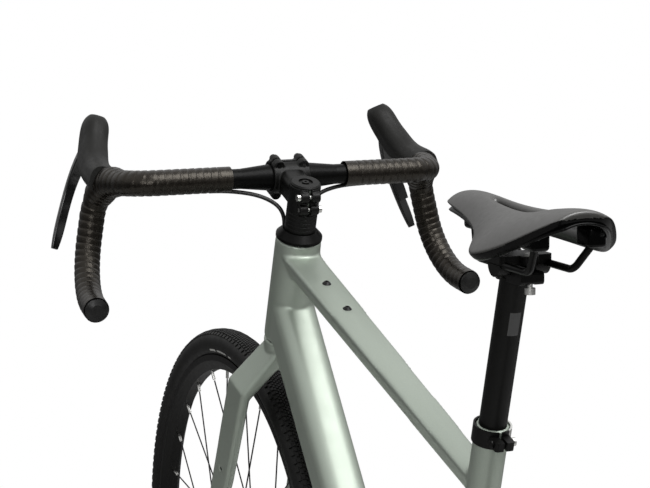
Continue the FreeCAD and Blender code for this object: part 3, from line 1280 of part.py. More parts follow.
def seatpost():
    """The post with a head whose trough carries the saddle clamp."""
    centre = rail_centre()
    low = SEAT_TUBE_TOP - POST_INSERT
    high = (centre.z - BB_CENTRE.z - POST_HEAD_BASE + POST_HEAD_CORNER) / math.sin(SEAT_TURN)
    body = cylinder(seat_at(low), seat_at(high), POST_RADIUS)
    bore = cylinder(seat_at(low - OVERRUN), seat_at(high - OVERRUN), POST_RADIUS - POST_WALL)
    tall = POST_HEAD_BASE - POST_HEAD_TOP
    head = rounded_slab(centre - UP * (POST_HEAD_TOP + tall / 2), AHEAD, UP, 2 * POST_HEAD_HALF, tall,
                        POST_HEAD_WIDTH, POST_HEAD_CORNER)
    trough = cross_rod(centre, -CRADLE_WIDTH, CRADLE_WIDTH, CRADLE_RADIUS + RUNNING_GAP)
    holes = [cylinder(spot - UP * (POST_HEAD_BASE + OVERRUN), spot, CLAMP_BOLT_RADIUS + CLAMP_BOLT_PLAY)
             for spot in clamp_bolt_spots()]
    nut_room = CLAMP_NUT_HEIGHT + 2 * CLAMP_NUT_GAP
    pockets = [cylinder(spot - UP * (POST_HEAD_BASE + nut_room), spot - UP * POST_HEAD_BASE,
                        CLAMP_NUT_RADIUS + 2 * CLAMP_BOLT_PLAY) for spot in clamp_bolt_spots()]
    return body.fuse(head).removeSplitter().cut([bore, trough] + holes + pockets)


def straight_rails(radius):
    """The straight middle runs of both rails, as grooves for the clamp."""
    centre = rail_centre()
    return [cylinder(centre + LEFT * (side * RAIL_SPREAD) - AHEAD * SADDLE_LENGTH,
                     centre + LEFT * (side * RAIL_SPREAD) + AHEAD * SADDLE_LENGTH, radius) for side in (1, -1)]


def saddle_clamp():
    """Cradle, top clamp and two bolts with barrel nuts."""
    centre = rail_centre()
    grooves = straight_rails(RAIL_RADIUS + RUNNING_GAP)
    keep = slab(centre - UP * (CRADLE_RADIUS + CLAMP_SPLIT / 2), AHEAD, UP, CRADLE_LENGTH, 2 * CRADLE_RADIUS,
                CRADLE_WIDTH)
    cradle = cross_rod(centre, -CRADLE_WIDTH / 2, CRADLE_WIDTH / 2, CRADLE_RADIUS).common(keep).cut(grooves)
    cover_middle = centre + UP * (CLAMP_SPLIT / 2 + CLAMP_TOP_HEIGHT / 2)
    cover = rounded_slab(cover_middle, AHEAD, LEFT, CRADLE_LENGTH, CRADLE_WIDTH, CLAMP_TOP_HEIGHT,
                         CLAMP_NUT_RADIUS)
    cover = cover.fuse(rounded_slab(cover_middle, AHEAD, LEFT, 2 * POST_HEAD_HALF, CLAMP_SPINE_WIDTH,
                                    CLAMP_TOP_HEIGHT, CLAMP_NUT_RADIUS)).removeSplitter()
    bolt_holes = [cylinder(spot - UP * OVERRUN, spot + UP * OVERRUN, CLAMP_BOLT_RADIUS)
                  for spot in clamp_bolt_spots()]
    cover = cover.cut(grooves + bolt_holes)
    bolts = []
    for spot in clamp_bolt_spots():
        top = spot + UP * (CLAMP_SPLIT / 2 + CLAMP_TOP_HEIGHT)
        foot = spot - UP * (POST_HEAD_BASE + CLAMP_NUT_GAP)
        nut_low = foot - UP * CLAMP_NUT_HEIGHT
        bolt = cylinder(foot, top, CLAMP_BOLT_RADIUS)
        bolts.append(bolt.fuse([cylinder(nut_low, foot, CLAMP_NUT_RADIUS),
                                cylinder(top, top + UP * CLAMP_BOLT_RADIUS, CLAMP_NUT_RADIUS)]).removeSplitter())
    return [cradle, cover] + bolts


def saddle_level():
    """The height from which the crown of the cushion is measured."""
    return rail_centre().z + SADDLE_RISE


def saddle_x(share):
    return rail_centre().x + SADDLE_NOSE_AHEAD - SADDLE_LENGTH * share


def saddle_sizes(k):
    """Half width, crown height, edge height and base height of one section."""
    half = SADDLE_HALF_WIDTH * SADDLE_WIDTH_SHARES[k]
    top = saddle_level() + SADDLE_DEPTH * SADDLE_RISE_SHARES[k]
    edge = top - SADDLE_DEPTH * SADDLE_EDGE_SHARES[k]
    base = edge - SADDLE_DEPTH * SADDLE_SIDE_SHARES[k]
    return half, top, edge, base


def pad_loop(k):
    """A cushion section: crown arc, full sides drawn in at the base."""
    x = saddle_x(SADDLE_STATION_SHARES[k])
    half, top, edge, base = saddle_sizes(k)
    tuck = half * SADDLE_TUCK_SHARE
    bulge = half * SADDLE_BULGE_SHARE
    middle = (edge + base) / 2
    return Part.Wire([
        arc(Vector(x, half, edge), Vector(x, 0, top), Vector(x, -half, edge)),
        arc(Vector(x, -half, edge), Vector(x, -bulge, middle), Vector(x, -tuck, base)),
        Part.makeLine(Vector(x, -tuck, base), Vector(x, tuck, base)),
        arc(Vector(x, tuck, base), Vector(x, bulge, middle), Vector(x, half, edge)),
    ])


def shell_loop(k):
    """A section of the base shell under the cushion."""
    x = saddle_x(SADDLE_STATION_SHARES[k])
    half, top, edge, base = saddle_sizes(k)
    wide = half * SHELL_WIDTH_SHARE
    narrow = wide * SHELL_WIDTH_SHARE
    low = base - SHELL_THICKNESS
    return Part.makePolygon([Vector(x, wide, base), Vector(x, -wide, base), Vector(x, -narrow, low),
                             Vector(x, narrow, low), Vector(x, wide, base)])


def saddle_slot():
    front = Vector(saddle_x(SLOT_FRONT_SHARE), 0, saddle_level())
    rear = Vector(saddle_x(SLOT_REAR_SHARE), 0, saddle_level())
    return strap(front, rear, UP, SLOT_FRONT_RADIUS, SLOT_REAR_RADIUS, SADDLE_LENGTH)


def rail_points():
    """The left rail: nose socket, straight middle, tail socket."""
    level = rail_centre().z
    nose_z = saddle_level() - SADDLE_DEPTH
    tail_z = saddle_level() - SADDLE_DEPTH / 2
    return [Vector(saddle_x(RAIL_NOSE_SHARE), RAIL_NOSE_SPREAD, nose_z),
            Vector(saddle_x(RAIL_FRONT_SHARE), RAIL_SPREAD, level),
            Vector(saddle_x(RAIL_REAR_SHARE), RAIL_SPREAD, level),
            Vector(saddle_x(RAIL_TAIL_SHARE), RAIL_TAIL_SPREAD, tail_z)]


def saddle():
    """Cushion, base shell with rail sockets, and rails."""
    count = range(len(SADDLE_STATION_SHARES))
    slot = saddle_slot()
    pad = loft([pad_loop(k) for k in count], False)
    left_rail = rod(rail_points(), (RAIL_BEND, RAIL_BEND), RAIL_RADIUS)
    rails = [left_rail, mirrored(left_rail)]
    nose, front, rear, tail = rail_points()
    sockets = []
    for tip, inner in ((nose, front), (tail, rear)):
        way = unit(inner - tip)
        socket = cylinder(tip - way * SOCKET_RADIUS, tip + way * SOCKET_LENGTH, SOCKET_RADIUS)
        sockets += [socket, mirrored(socket)]
    shell = loft([shell_loop(k) for k in count], False).fuse(sockets)
    shell = shell.cut([slot] + rails)
    pad = pad.cut([slot, shell] + rails)
    return [max(part.Solids, key=lambda solid: solid.Volume) for part in (pad, shell)] + rails


def sprocket(centre, teeth, angle, thickness):
    """A toothed disc with one tooth gap at the given angle."""
    root = pitch_radius(teeth) - ROLLER_RADIUS - ROLLER_GAP
    tip = pitch_radius(teeth) + TOOTH_ABOVE
    root_half = math.degrees(math.asin(GAP_ROOT_HALF / root))
    tip_half = math.degrees(math.asin(GAP_TIP_HALF / tip))
    points = []
    for k in range(teeth):
        gap = angle + 360 * k / teeth
        points += [centre + radial(gap - tip_half) * tip, centre + radial(gap - root_half) * root,
                   centre + radial(gap + root_half) * root, centre + radial(gap + tip_half) * tip]
    low = LEFT * (-thickness / 2)
    return polygon_face([point + low for point in points]).extrude(LEFT * thickness)


def pitch_radius(teeth):
    return CHAIN_PITCH / (2 * math.sin(math.pi / teeth))


def guide_centre():
    return REAR_AXLE + AHEAD * GUIDE_AHEAD - UP * GUIDE_DROP


def tension_centre(swing):
    """The lower pulley for a cage swing forward of straight down."""
    turn = math.radians(swing)
    return guide_centre() + (AHEAD * math.sin(turn) - UP * math.cos(turn)) * CAGE_LENGTH


def tangent_angle(first, first_radius, second, second_radius):
    """The angle of the touching points of a belt line that keeps both circles on its left side.

    A negative radius puts that circle on the other side of the line."""
    way = second - first
    heading = math.atan2(way.z, way.x)
    lean = math.asin((first_radius - second_radius) / way.Length)
    return math.degrees(heading + lean) - 90


def chain_stops(swing):
    """Centres, signed radii and arc ends of the chain path, in running order."""
    circles = [(BB_CENTRE, pitch_radius(RING_TEETH)), (REAR_AXLE, pitch_radius(COG_TEETH[COG_ENGAGED])),
               (guide_centre(), -pitch_radius(PULLEY_TEETH)), (tension_centre(swing), pitch_radius(PULLEY_TEETH))]
    leaves = []
    arrives = [0] * len(circles)
    for k in range(len(circles)):
        first, first_radius = circles[k]
        second, second_radius = circles[(k + 1) % len(circles)]
        angle = tangent_angle(first, first_radius, second, second_radius)
        leaves.append(angle)
        arrives[(k + 1) % len(circles)] = angle
    return circles, arrives, leaves


def chain_pieces(swing):
    """Arcs and straight runs of the chain path with their lengths."""
    circles, arrives, leaves = chain_stops(swing)
    pieces = []
    for k in range(len(circles)):
        centre, radius = circles[k]
        turn = (leaves[k] - arrives[k]) % 360
        if radius < 0:
            turn = turn - 360
        pieces.append((math.radians(abs(turn)) * abs(radius), centre, radius, arrives[k], turn))
        start = centre + radial(leaves[k]) * radius
        following, following_radius = circles[(k + 1) % len(circles)]
        end = following + radial(leaves[k]) * following_radius
        pieces.append(((end - start).Length, start, None, end, 0))
    return pieces


def chain_point(pieces, distance):
    """A point of the chain path at a distance from its start."""
    left = distance % sum(piece[0] for piece in pieces)
    for length, first, radius, second, turn in pieces:
        if left <= length:
            share = left / length
            if radius is None:
                return blend(first, second, share)
            return first + radial(second + turn * share) * radius
        left -= length
    return pieces[0][1] + radial(pieces[0][3]) * pieces[0][2]


def chain_rollers(swing):
    """Roller centres one pitch apart, and how far the last pitch misses the start."""
    pieces = chain_pieces(swing)
    total = sum(piece[0] for piece in pieces)
    distance = 0
    points = [chain_point(pieces, 0)]
    for k in range(CHAIN_LINKS):
        low = distance
        high = distance + CHAIN_PITCH * 2
        for attempt in range(40):
            middle = (low + high) / 2
            if (chain_point(pieces, middle) - points[-1]).Length < CHAIN_PITCH:
                low = middle
            else:
                high = middle
        distance = high
        points.append(chain_point(pieces, distance))
    return points[:-1], distance - total


def solve_swing():
    """The cage swing at which a whole number of links closes."""
    low, high = CAGE_SWING_LIMITS
    for attempt in range(40):
        middle = (low + high) / 2
        if chain_rollers(middle)[1] > 0:
            high = middle
        else:
            low = middle
    return (low + high) / 2


def roller_angle(points, centre, radius):
    """The angle of a roller that sits well inside the wrap of a sprocket."""
    seated = [point for point in points if abs((point - centre).Length - radius) < CHAIN_PITCH / 1000]
    way = seated[len(seated) // 2] - centre
    return math.degrees(math.atan2(way.z, way.x))


def link_parts():
    """One inner and one outer link along the ahead direction, centred on the origin."""
    half = AHEAD * (CHAIN_PITCH / 2)
    pins = (half * -1, half)
    inner = []
    outer = []
    for side in (1, -1):
        inner_plane = LEFT * (side * (LINK_INNER_FACE + LINK_INNER_OUT) / 2)
        outer_plane = LEFT * (side * (LINK_OUTER_FACE + LINK_OUTER_OUT) / 2)
        inner.append(strap(pins[0] + inner_plane, pins[1] + inner_plane, LEFT, LINK_RADIUS, LINK_RADIUS,
                           LINK_INNER_OUT - LINK_INNER_FACE))
        outer.append(strap(pins[0] + outer_plane, pins[1] + outer_plane, LEFT, LINK_RADIUS, LINK_RADIUS,
                           LINK_OUTER_OUT - LINK_OUTER_FACE))
    for pin in pins:
        inner.append(cross_rod(pin, -LINK_INNER_FACE, LINK_INNER_FACE, ROLLER_RADIUS))
        outer.append(cross_rod(pin, -LINK_OUTER_OUT, LINK_OUTER_OUT, CHAIN_PIN_RADIUS))
    holes = [cross_rod(pin, -OVERRUN, OVERRUN, CHAIN_PIN_RADIUS + RUNNING_GAP) for pin in pins]
    return inner[0].fuse(inner[1:]).cut(holes), outer[0].fuse(outer[1:]).removeSplitter()


def chain(points):
    """Alternating inner and outer links along the roller centres."""
    models = link_parts()
    links = []
    for k in range(len(points)):
        following = points[(k + 1) % len(points)]
        way = following - points[k]
        place = FreeCAD.Placement((points[k] + following) * 0.5 + LEFT * CHAIN_PLANE,
                                  FreeCAD.Rotation(LEFT, -math.degrees(math.atan2(way.z, way.x))))
        link = models[k % 2].copy()
        link.Placement = place
        links.append(link)
    return links


def chainring(points):
    """The ring: toothed band, arms and a hub on the crank boss."""
    centre = BB_CENTRE + LEFT * CHAIN_PLANE
    radius = pitch_radius(RING_TEETH)
    disc = sprocket(centre, RING_TEETH, roller_angle(points, BB_CENTRE, radius), SPROCKET_THICKNESS)
    window = ring(centre - LEFT * OVERRUN, centre + LEFT * OVERRUN, radius - RING_BAND, RING_HUB_RADIUS)
    arms = []
    for k in range(RING_ARMS):
        way = radial(360 * k / RING_ARMS)
        arms.append(slab(centre + way * (radius / 2), way, LEFT.cross(way), radius, RING_ARM_WIDTH,
                         SPROCKET_THICKNESS))
    keep = arms[0].fuse(arms[1:]).common(disc)
    body = disc.cut(window).fuse(keep).removeSplitter()
    return body.cut(cross_rod(centre, -OVERRUN, OVERRUN, CRANK_BOSS_RADIUS))


def cassette(points):
    """Cogs on a freehub body that turns on the axle."""
    low = SIDE_GAP - REAR_SPACING / 2
    high = REAR_HUB_RIGHT - SIDE_GAP
    bore = cross_rod(REAR_AXLE, -REAR_SPACING, 0, AXLE_RADIUS + RUNNING_GAP)
    parts = [cross_rod(REAR_AXLE, low, high, FREEHUB_RADIUS).cut(bore)]
    engaged = roller_angle(points, REAR_AXLE, pitch_radius(COG_TEETH[COG_ENGAGED]))
    for k in range(len(COG_TEETH)):
        plane = CHAIN_PLANE + (k - COG_ENGAGED) * COG_STEP
        centre = REAR_AXLE + LEFT * plane
        cog = sprocket(centre, COG_TEETH[k], engaged, SPROCKET_THICKNESS)
        cuts = [cross_rod(centre, -OVERRUN, OVERRUN, FREEHUB_RADIUS)]
        room = pitch_radius(COG_TEETH[k]) - FREEHUB_RADIUS
        if k > COG_ENGAGED:
            for n in range(COG_HOLE_COUNT):
                spot = centre + radial(360 * n / COG_HOLE_COUNT) * (FREEHUB_RADIUS + room / 2)
                cuts.append(cross_rod(spot, -OVERRUN, OVERRUN, room * COG_HOLE_SHARE))
        parts.append(cog.cut(cuts))
    return parts


def crank_points():
    """Pedal axle places: right crank ahead, left crank behind."""
    return BB_CENTRE + AHEAD * CRANK_LENGTH, BB_CENTRE - AHEAD * CRANK_LENGTH


def crank_arm(side, pedal):
    """One crank arm with its boss towards the bottom bracket."""
    plane = LEFT * (side * CRANK_ARM_PLANE)
    body = strap(BB_CENTRE + plane, pedal + plane, LEFT, CRANK_ROOT_RADIUS, CRANK_END_RADIUS,
                 CRANK_ARM_THICKNESS)
    near = side * (BB_SHELL_WIDTH / 2 + CUP_WIDTH + SIDE_GAP)
    boss = cross_rod(BB_CENTRE, near, side * CRANK_ARM_PLANE, CRANK_BOSS_RADIUS)
    hole = cross_rod(pedal, side * OVERRUN, side * 2 * CRANK_ARM_PLANE, PEDAL_AXLE_RADIUS)
    return body.fuse(boss).removeSplitter().cut(hole)


def cranks():
    """Right arm with the spindle, and the left arm bored for it."""
    right_pedal, left_pedal = crank_points()
    reach = CRANK_ARM_PLANE + CRANK_ARM_THICKNESS / 2
    spindle = cross_rod(BB_CENTRE, -CRANK_ARM_PLANE, reach, SPINDLE_RADIUS)
    right = crank_arm(-1, right_pedal).fuse(spindle).removeSplitter()
    left = crank_arm(1, left_pedal).cut(cross_rod(BB_CENTRE, 0, reach + OVERRUN, SPINDLE_RADIUS))
    return right, left


def pedal_line(side):
    """Inner and outer ends of a pedal spindle, left of the centre plane."""
    inner = CRANK_ARM_PLANE - CRANK_ARM_THICKNESS / 2
    outer = CRANK_ARM_PLANE + CRANK_ARM_THICKNESS / 2 + PEDAL_GAP + PEDAL_WIDTH - PEDAL_WALL / 2
    return side * inner, side * outer


def pedal_spindle(side, pedal):
    inner, outer = pedal_line(side)
    return cross_rod(pedal, inner, outer, PEDAL_AXLE_RADIUS)


def pedal(side, centre):
    """A platform pedal: rounded frame and a core bored for the spindle."""
    middle = centre + LEFT * (side * (CRANK_ARM_PLANE + CRANK_ARM_THICKNESS / 2 + PEDAL_GAP + PEDAL_WIDTH / 2))
    body = rounded_slab(middle, AHEAD, LEFT, PEDAL_LENGTH, PEDAL_WIDTH, PEDAL_HEIGHT, PEDAL_CORNER)
    window = rounded_slab(middle, AHEAD, LEFT, PEDAL_LENGTH - 2 * PEDAL_WALL, PEDAL_WIDTH - 2 * PEDAL_WALL,
                          OVERRUN, PEDAL_CORNER / 2)
    core = cross_rod(middle, -PEDAL_WIDTH / 2, PEDAL_WIDTH / 2, PEDAL_CORE_RADIUS)
    inner, outer = pedal_line(side)
    bore = cross_rod(centre, inner, outer, PEDAL_AXLE_RADIUS + RUNNING_GAP)
    return body.cut(window).fuse(core).removeSplitter().cut(bore)


def pulley(centre, points):
    spot = centre + LEFT * CHAIN_PLANE
    angle = roller_angle(points, centre, pitch_radius(PULLEY_TEETH))
    return sprocket(spot, PULLEY_TEETH, angle, SPROCKET_THICKNESS).cut(
        cross_rod(spot, -OVERRUN, OVERRUN, PULLEY_BOLT_RADIUS + RUNNING_GAP))


def derailleur_cage(tension):
    """Two cage plates tied by the pulley bolts."""
    guide = guide_centre()
    bolts = []
    plates = []
    reach = CAGE_HALF_GAP + CAGE_PLATE
    for side in (1, -1):
        plane = LEFT * (CHAIN_PLANE + side * (CAGE_HALF_GAP + CAGE_PLATE / 2))
        plates.append(strap(guide + plane, tension + plane, LEFT, CAGE_TOP_RADIUS, CAGE_END_RADIUS, CAGE_PLATE))
    for spot in (guide, tension):
        bolts.append(cross_rod(spot + LEFT * CHAIN_PLANE, -reach, reach, PULLEY_BOLT_RADIUS))
        for side in (1, -1):
            bolts.append(cross_rod(spot + LEFT * CHAIN_PLANE, side * (SPROCKET_THICKNESS / 2 + SIDE_GAP),
                                   side * reach, PULLEY_BOLT_RADIUS * 2))
    return plates[0].fuse([plates[1]] + bolts).removeSplitter()


def derailleur_body():
    """The hanger bolt, upper knuckle, link and the knuckle that carries the cage."""
    hanger = hanger_point()
    guide = guide_centre()
    face = -(DROPOUT_MIDDLE + DROPOUT_THICKNESS / 2)
    bolt = cross_rod(hanger, face, face + DROPOUT_THICKNESS, HANGER_BOLT_RADIUS)
    knuckle = cross_rod(hanger, face - KNUCKLE_LENGTH, face, KNUCKLE_RADIUS)
    cage_face = CHAIN_PLANE - CAGE_HALF_GAP - CAGE_PLATE - SIDE_GAP
    pivot = cross_rod(guide, cage_face - PIVOT_KNUCKLE_LENGTH, cage_face, PIVOT_KNUCKLE_RADIUS)
    start = hanger + LEFT * (face - KNUCKLE_LENGTH / 2)
    end = guide + LEFT * (cage_face - PIVOT_KNUCKLE_LENGTH / 2)
    link = loft([box_loop(start, AHEAD, LEFT, LINK_BODY_WIDTH, LINK_BODY_DEPTH, LINK_BODY_DEPTH / 4),
                 box_loop(end, AHEAD, LEFT, LINK_BODY_WIDTH, LINK_BODY_DEPTH, LINK_BODY_DEPTH / 4)])
    return knuckle.fuse([bolt, pivot, link]).removeSplitter()


def caliper(centre, along, up, axle, rotor_plane, keep_out):
    """A caliper body slotted for the rotor, and its two pads."""
    body = rounded_slab(centre, along, up, CALIPER_LENGTH, CALIPER_HEIGHT, CALIPER_WIDTH, CALIPER_CORNER)
    half = ROTOR_THICKNESS / 2 + PAD_GAP + PAD_THICKNESS
    slot = cross_rod(axle, rotor_plane - half, rotor_plane + half, ROTOR_RADIUS + 2 * PAD_GAP)
    body = body.cut([slot] + keep_out)
    way = unit(Vector(centre.x - axle.x, 0, centre.z - axle.z))
    spot = axle + way * (ROTOR_RADIUS - ROTOR_BAND / 2)
    pads = []
    for side in (1, -1):
        plane = LEFT * (rotor_plane + side * (ROTOR_THICKNESS / 2 + PAD_GAP + PAD_THICKNESS / 2))
        pads.append(slab(spot + plane, LEFT.cross(way), way, PAD_LENGTH, PAD_HEIGHT, PAD_THICKNESS))
    return [max(body.Solids, key=lambda solid: solid.Volume)] + pads


def caliper_hose(centre, along, ending):
    """A hose that leaves the end of a caliper and turns into the frame or fork."""
    start = centre + along * (CALIPER_LENGTH / 2 - CALIPER_HOSE_SINK)
    corner = start + along * along.dot(ending - start)
    return rod([start, corner, ending], [CALIPER_HOSE_BEND], HOSE_RADIUS)


os.makedirs("parts", exist_ok=True)

front_half = FRONT_SPACING / 2 - SIDE_GAP
rear_half = REAR_SPACING / 2 - SIDE_GAP
wheel("front", FRONT_AXLE, FRONT_WHEEL_TURN, front_half, -front_half, FRONT_FLANGES, FRONT_ROTOR_PLANE)
wheel("rear", REAR_AXLE, REAR_WHEEL_TURN, rear_half, REAR_HUB_RIGHT, REAR_FLANGES, REAR_ROTOR_PLANE)
front_end = FRONT_SPACING / 2 + FORK_END_THICKNESS
rear_end = REAR_SPACING / 2 + DROPOUT_THICKNESS
save("front_thru_axle", thru_axle(FRONT_AXLE, -front_end, front_end))
save("rear_thru_axle", thru_axle(REAR_AXLE, -rear_end, rear_end))

save("head_tube", head_tube())
save("headset_bearings", *headset_bearings())
save("top_tube", top_tube())
save("frame_bolts", *frame_bolts())
save("down_tube", down_tube())
save("seat_tube", seat_tube())
save("bottom_bracket_shell", bottom_bracket_shell())
save("bottom_bracket_cups", *bottom_bracket_cups())
plates = dropouts()
stay_way = unit(REAR_AXLE - BB_CENTRE)
rear_spot = blend(BB_CENTRE, REAR_AXLE, REAR_CALIPER_SHARE) + UP * REAR_CALIPER_RISE + LEFT * REAR_CALIPER_LEFT
rear_ending = blend(BB_CENTRE, REAR_AXLE, REAR_HOSE_SHARE) + LEFT * REAR_CALIPER_LEFT
rear_hose = caliper_hose(rear_spot, stay_way * -1, rear_ending)
chainstays, seatstays = rear_stays(plates)
save("dropouts", *plates)
save("chainstays", chainstays[0].cut(rear_hose), chainstays[1])
save("rear_brake_hose", rear_hose)
save("seatstays", *seatstays)
save("seat_clamp", *seat_clamp())

save("fork_crown", fork_crown())
front_spot = steer_at(FRONT_CALIPER_ALONG, FRONT_CALIPER_AHEAD, FRONT_CALIPER_LEFT)
front_hose = caliper_hose(front_spot, STEER_UP, blade_point(FRONT_HOSE_ALONG, 0))
blade = fork_blade()
blades = [blade.cut(front_hose), mirrored(blade)]
save("fork_blades", *blades)
hoses = cockpit_hoses()
save("front_hoses", front_hose, *hoses)
save("headset_cover", headset_cover(hoses))
save("headset_spacers", *headset_spacers())
stem, faceplate = stem_and_faceplate()
save("stem", stem)
save("stem_faceplate", faceplate)
save("stem_bolts", *stem_bolts())
save("steerer_top_cap", *steerer_top_cap())
save("handlebar", handlebar())
tape = bar_tape(hoses)
save("bar_tape", tape, mirrored(tape))
plug = bar_end_plug()
save("bar_end_plugs", plug, mirrored(plug))
hood = lever_hood()
save("lever_hoods", hood, mirrored(hood))
lever = brake_lever()
save("brake_lever_left", lever)
pin = cylinder(paddle_pivot() - AHEAD * PADDLE_THICKNESS, paddle_pivot() + AHEAD * (LEVER_WIDTH * PADDLE_PIN_SHARE),
               PADDLE_PIN_RADIUS)
save("brake_lever_right", mirrored(lever.fuse(pin)))
save("shift_paddle_right", mirrored(shift_paddle()))

save("seatpost", seatpost())
save("saddle_clamp", *saddle_clamp())
pad, shell, rail_left, rail_right = saddle()
save("saddle_pad", pad)
save("saddle_shell", shell)
save("saddle_rails", rail_left, rail_right)

swing = solve_swing()
rollers = chain_rollers(swing)[0]
tension = tension_centre(swing)
save("chain", *chain(rollers))
save("chainring", chainring(rollers))
save("cassette", *cassette(rollers))
right_crank, left_crank = cranks()
save("crank_arm_right", right_crank)
save("crank_arm_left", left_crank)
right_pedal, left_pedal = crank_points()
save("pedal_spindles", pedal_spindle(1, left_pedal), pedal_spindle(-1, right_pedal))
save("pedal_left", pedal(1, left_pedal))
save("pedal_right", pedal(-1, right_pedal))
save("upper_pulley", pulley(guide_centre(), rollers))
save("lower_pulley", pulley(tension, rollers))
save("derailleur_cage", derailleur_cage(tension))
save("derailleur_body", derailleur_body().cut(plates))

save("front_caliper", *caliper(front_spot, STEER_UP, STEER_AHEAD, FRONT_AXLE, FRONT_ROTOR_PLANE,
                               blades + [front_hose]))
save("rear_caliper", *caliper(rear_spot, stay_way, stay_way.cross(LEFT), REAR_AXLE, REAR_ROTOR_PLANE,
                              chainstays + seatstays + plates + [rear_hose]))
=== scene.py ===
import math

import bpy
from mathutils import Matrix, Vector


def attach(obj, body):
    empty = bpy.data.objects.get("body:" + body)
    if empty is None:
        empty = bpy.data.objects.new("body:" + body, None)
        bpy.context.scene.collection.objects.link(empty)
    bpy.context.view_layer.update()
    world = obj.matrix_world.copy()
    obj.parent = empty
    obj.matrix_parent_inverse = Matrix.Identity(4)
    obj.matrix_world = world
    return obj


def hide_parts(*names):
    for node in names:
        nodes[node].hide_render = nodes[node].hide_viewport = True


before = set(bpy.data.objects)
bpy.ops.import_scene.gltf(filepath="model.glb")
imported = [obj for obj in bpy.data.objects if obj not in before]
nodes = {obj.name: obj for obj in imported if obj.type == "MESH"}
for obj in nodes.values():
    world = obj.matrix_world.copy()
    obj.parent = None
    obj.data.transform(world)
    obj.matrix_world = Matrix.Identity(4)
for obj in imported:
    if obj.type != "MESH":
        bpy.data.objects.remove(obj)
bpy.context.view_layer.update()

# Places and sizes taken from the CAD part, in metres
FRONT_AXLE = Vector((0.517, 0.0, 0.351))
REAR_AXLE = Vector((-0.517, 0.0, 0.351))
WHEEL_RADIUS = 0.351
BAR_POINTS = (
    Vector((0.318862, 0.0, 0.925412)),
    Vector((0.318862, 0.190, 0.925412)),
    Vector((0.409862, 0.210, 0.921412)),
    Vector((0.396862, 0.234, 0.793412)),
    Vector((0.314862, 0.240, 0.781412)),
)
BAR_BENDS = (0.036, 0.044, 0.080)

# The camera, as it stood when the photograph was taken
CAMERA_PLACE = Vector((-1.8648, 0.8269, 1.1786))
CAMERA_YAW = math.radians(-21.83)
CAMERA_PITCH = math.radians(-8.17)
CAMERA_ROLL = math.radians(-0.46)
CAMERA_LENS = 108.7
CAMERA_SENSOR = 36.0

# Light and floor, with softboxes as name, place, target, size and power
FILL_LIGHT = 0.14
GLOSS_LOW = 0.12
SKY_FROM = -0.1
SKY_TO = 0.6
FLOOR_RADIUS = 1.8
FLOOR_CORNERS = 96
FLOOR_GLOW = 0.45
SOFTBOXES = (
    ("top_softbox", (-1.1, -0.7, 3.1), (0.0, 0.0, 0.6), (1.9, 1.9), 72),
    ("rear_softbox", (-2.9, 1.5, 1.9), (0.1, 0.0, 0.7), (1.2, 1.2), 30),
)

# The frame's own places
SEAT_UP = Vector((-0.279829, 0.0, 0.960050))
SEAT_TUBE_TOP = Vector((-0.227054, 0.0, 0.741824))
DOWN_BOSSES = (Vector((0.01236, 0.0, 0.4410)), Vector((0.05315, 0.0, 0.49031)))
DOWN_BOSS_OUT = Vector((-0.7705, 0.0, 0.6374))
TOP_BOLTS = (Vector((0.1935, 0.0, 0.8137)), Vector((0.1323, 0.0, 0.7952)))
TOP_BOLT_OUT = Vector((-0.289, 0.0, 0.957))
FORK_HOLES = (Vector((0.41137, 0.05918, 0.55013)), Vector((0.44168, 0.05965, 0.49298)),
              Vector((0.47200, 0.06012, 0.43583)))
FORK_HOLE_OUT = Vector((-0.1016, 0.9942, -0.0361))
FORK_HOLE_RADIUS = 0.0025
FRONT_TUBES_FROM = -0.06
TOP_TUBE_RISE = 0.36
RAIL_CENTRE = Vector((-0.279615, 0.0, 0.905))
CLAMP_BOLT_OFFSET = 0.021

# Skins cast from the solids: size of the grid and rounds of smoothing
FRAME_GRID = 0.0022
FRAME_ROUNDS = 9
FRONT_TUBES_ROUNDS = 12
FORK_GRID = 0.0017
FORK_ROUNDS = 7
STEM_GRID = 0.0009
STEM_ROUNDS = 5
SMOOTH_FACTOR = 0.5
MERGE_DISTANCE = 0.00001

# Plugs and bores in the painted tubes, and the painted shade inside the fork's threaded holes, as depths below
# the face and radii
PLUG_END = 0.012
BOSS_PLUG_START = 0.0015
BOSS_PLUG_RADIUS = 0.0032
BOLT_PLUG_START = 0.003
BOLT_PLUG_RADIUS = 0.0036
POST_BORE_RADIUS = 0.0138
POST_BORE_DEPTH = 0.25
POST_BORE_OVERRUN = 0.02
DRILL_OVERRUN = 0.005
DRILL_DEPTH = 0.007
DRILL_SIDES = 20
HOLE_SHADE_FROM = -0.0075
HOLE_SHADE_TO = -0.0003
HOLE_SHADE_REACH_SHARE = 1.02

# Marks and bright metal drawn by finishes: distances in metres, dashes round the tyre in radians
DASH_BAND = (0.3222, 0.3248)
DASHES = ((1.40, 1.47), (1.49, 1.60), (1.63, 1.66))
DASH_COLOUR = (0.55, 0.55, 0.53)
NIPPLE_BAND = (0.2835, 0.2975)
NIPPLE_COLOUR = (0.60, 0.60, 0.58)
POST_MARK_ACROSS = (-0.0055, 0.0058)
POST_MARK_UP = (0.100, 0.1235)
POST_MARK_COLOUR = (0.085, 0.085, 0.085)
CLAMP_BOLT_RADIUS = 0.0052
COLLAR_BOLT_FROM = -0.0101
BRIGHT_BOLTS_BEHIND = 0.275
BOLT_COLOUR = (0.62, 0.62, 0.60)

# Brake hoses from under the tape to the headset cover, on the left
HOSE_ROUTE = (
    Vector((0.323731, 0.096700, 0.911701)),
    Vector((0.323731, 0.072700, 0.911701)),
    Vector((0.308196, 0.033000, 0.904646)),
    Vector((0.290203, 0.013000, 0.886584)),
    Vector((0.297565, 0.013000, 0.865852)),
)
HOSE_DIAMETER = 0.005
HOSE_BEVEL_STEPS = 6
HOSE_CURVE_STEPS = 20
HOSE_ORDER = 3
COCKPIT_FROM = 0.8

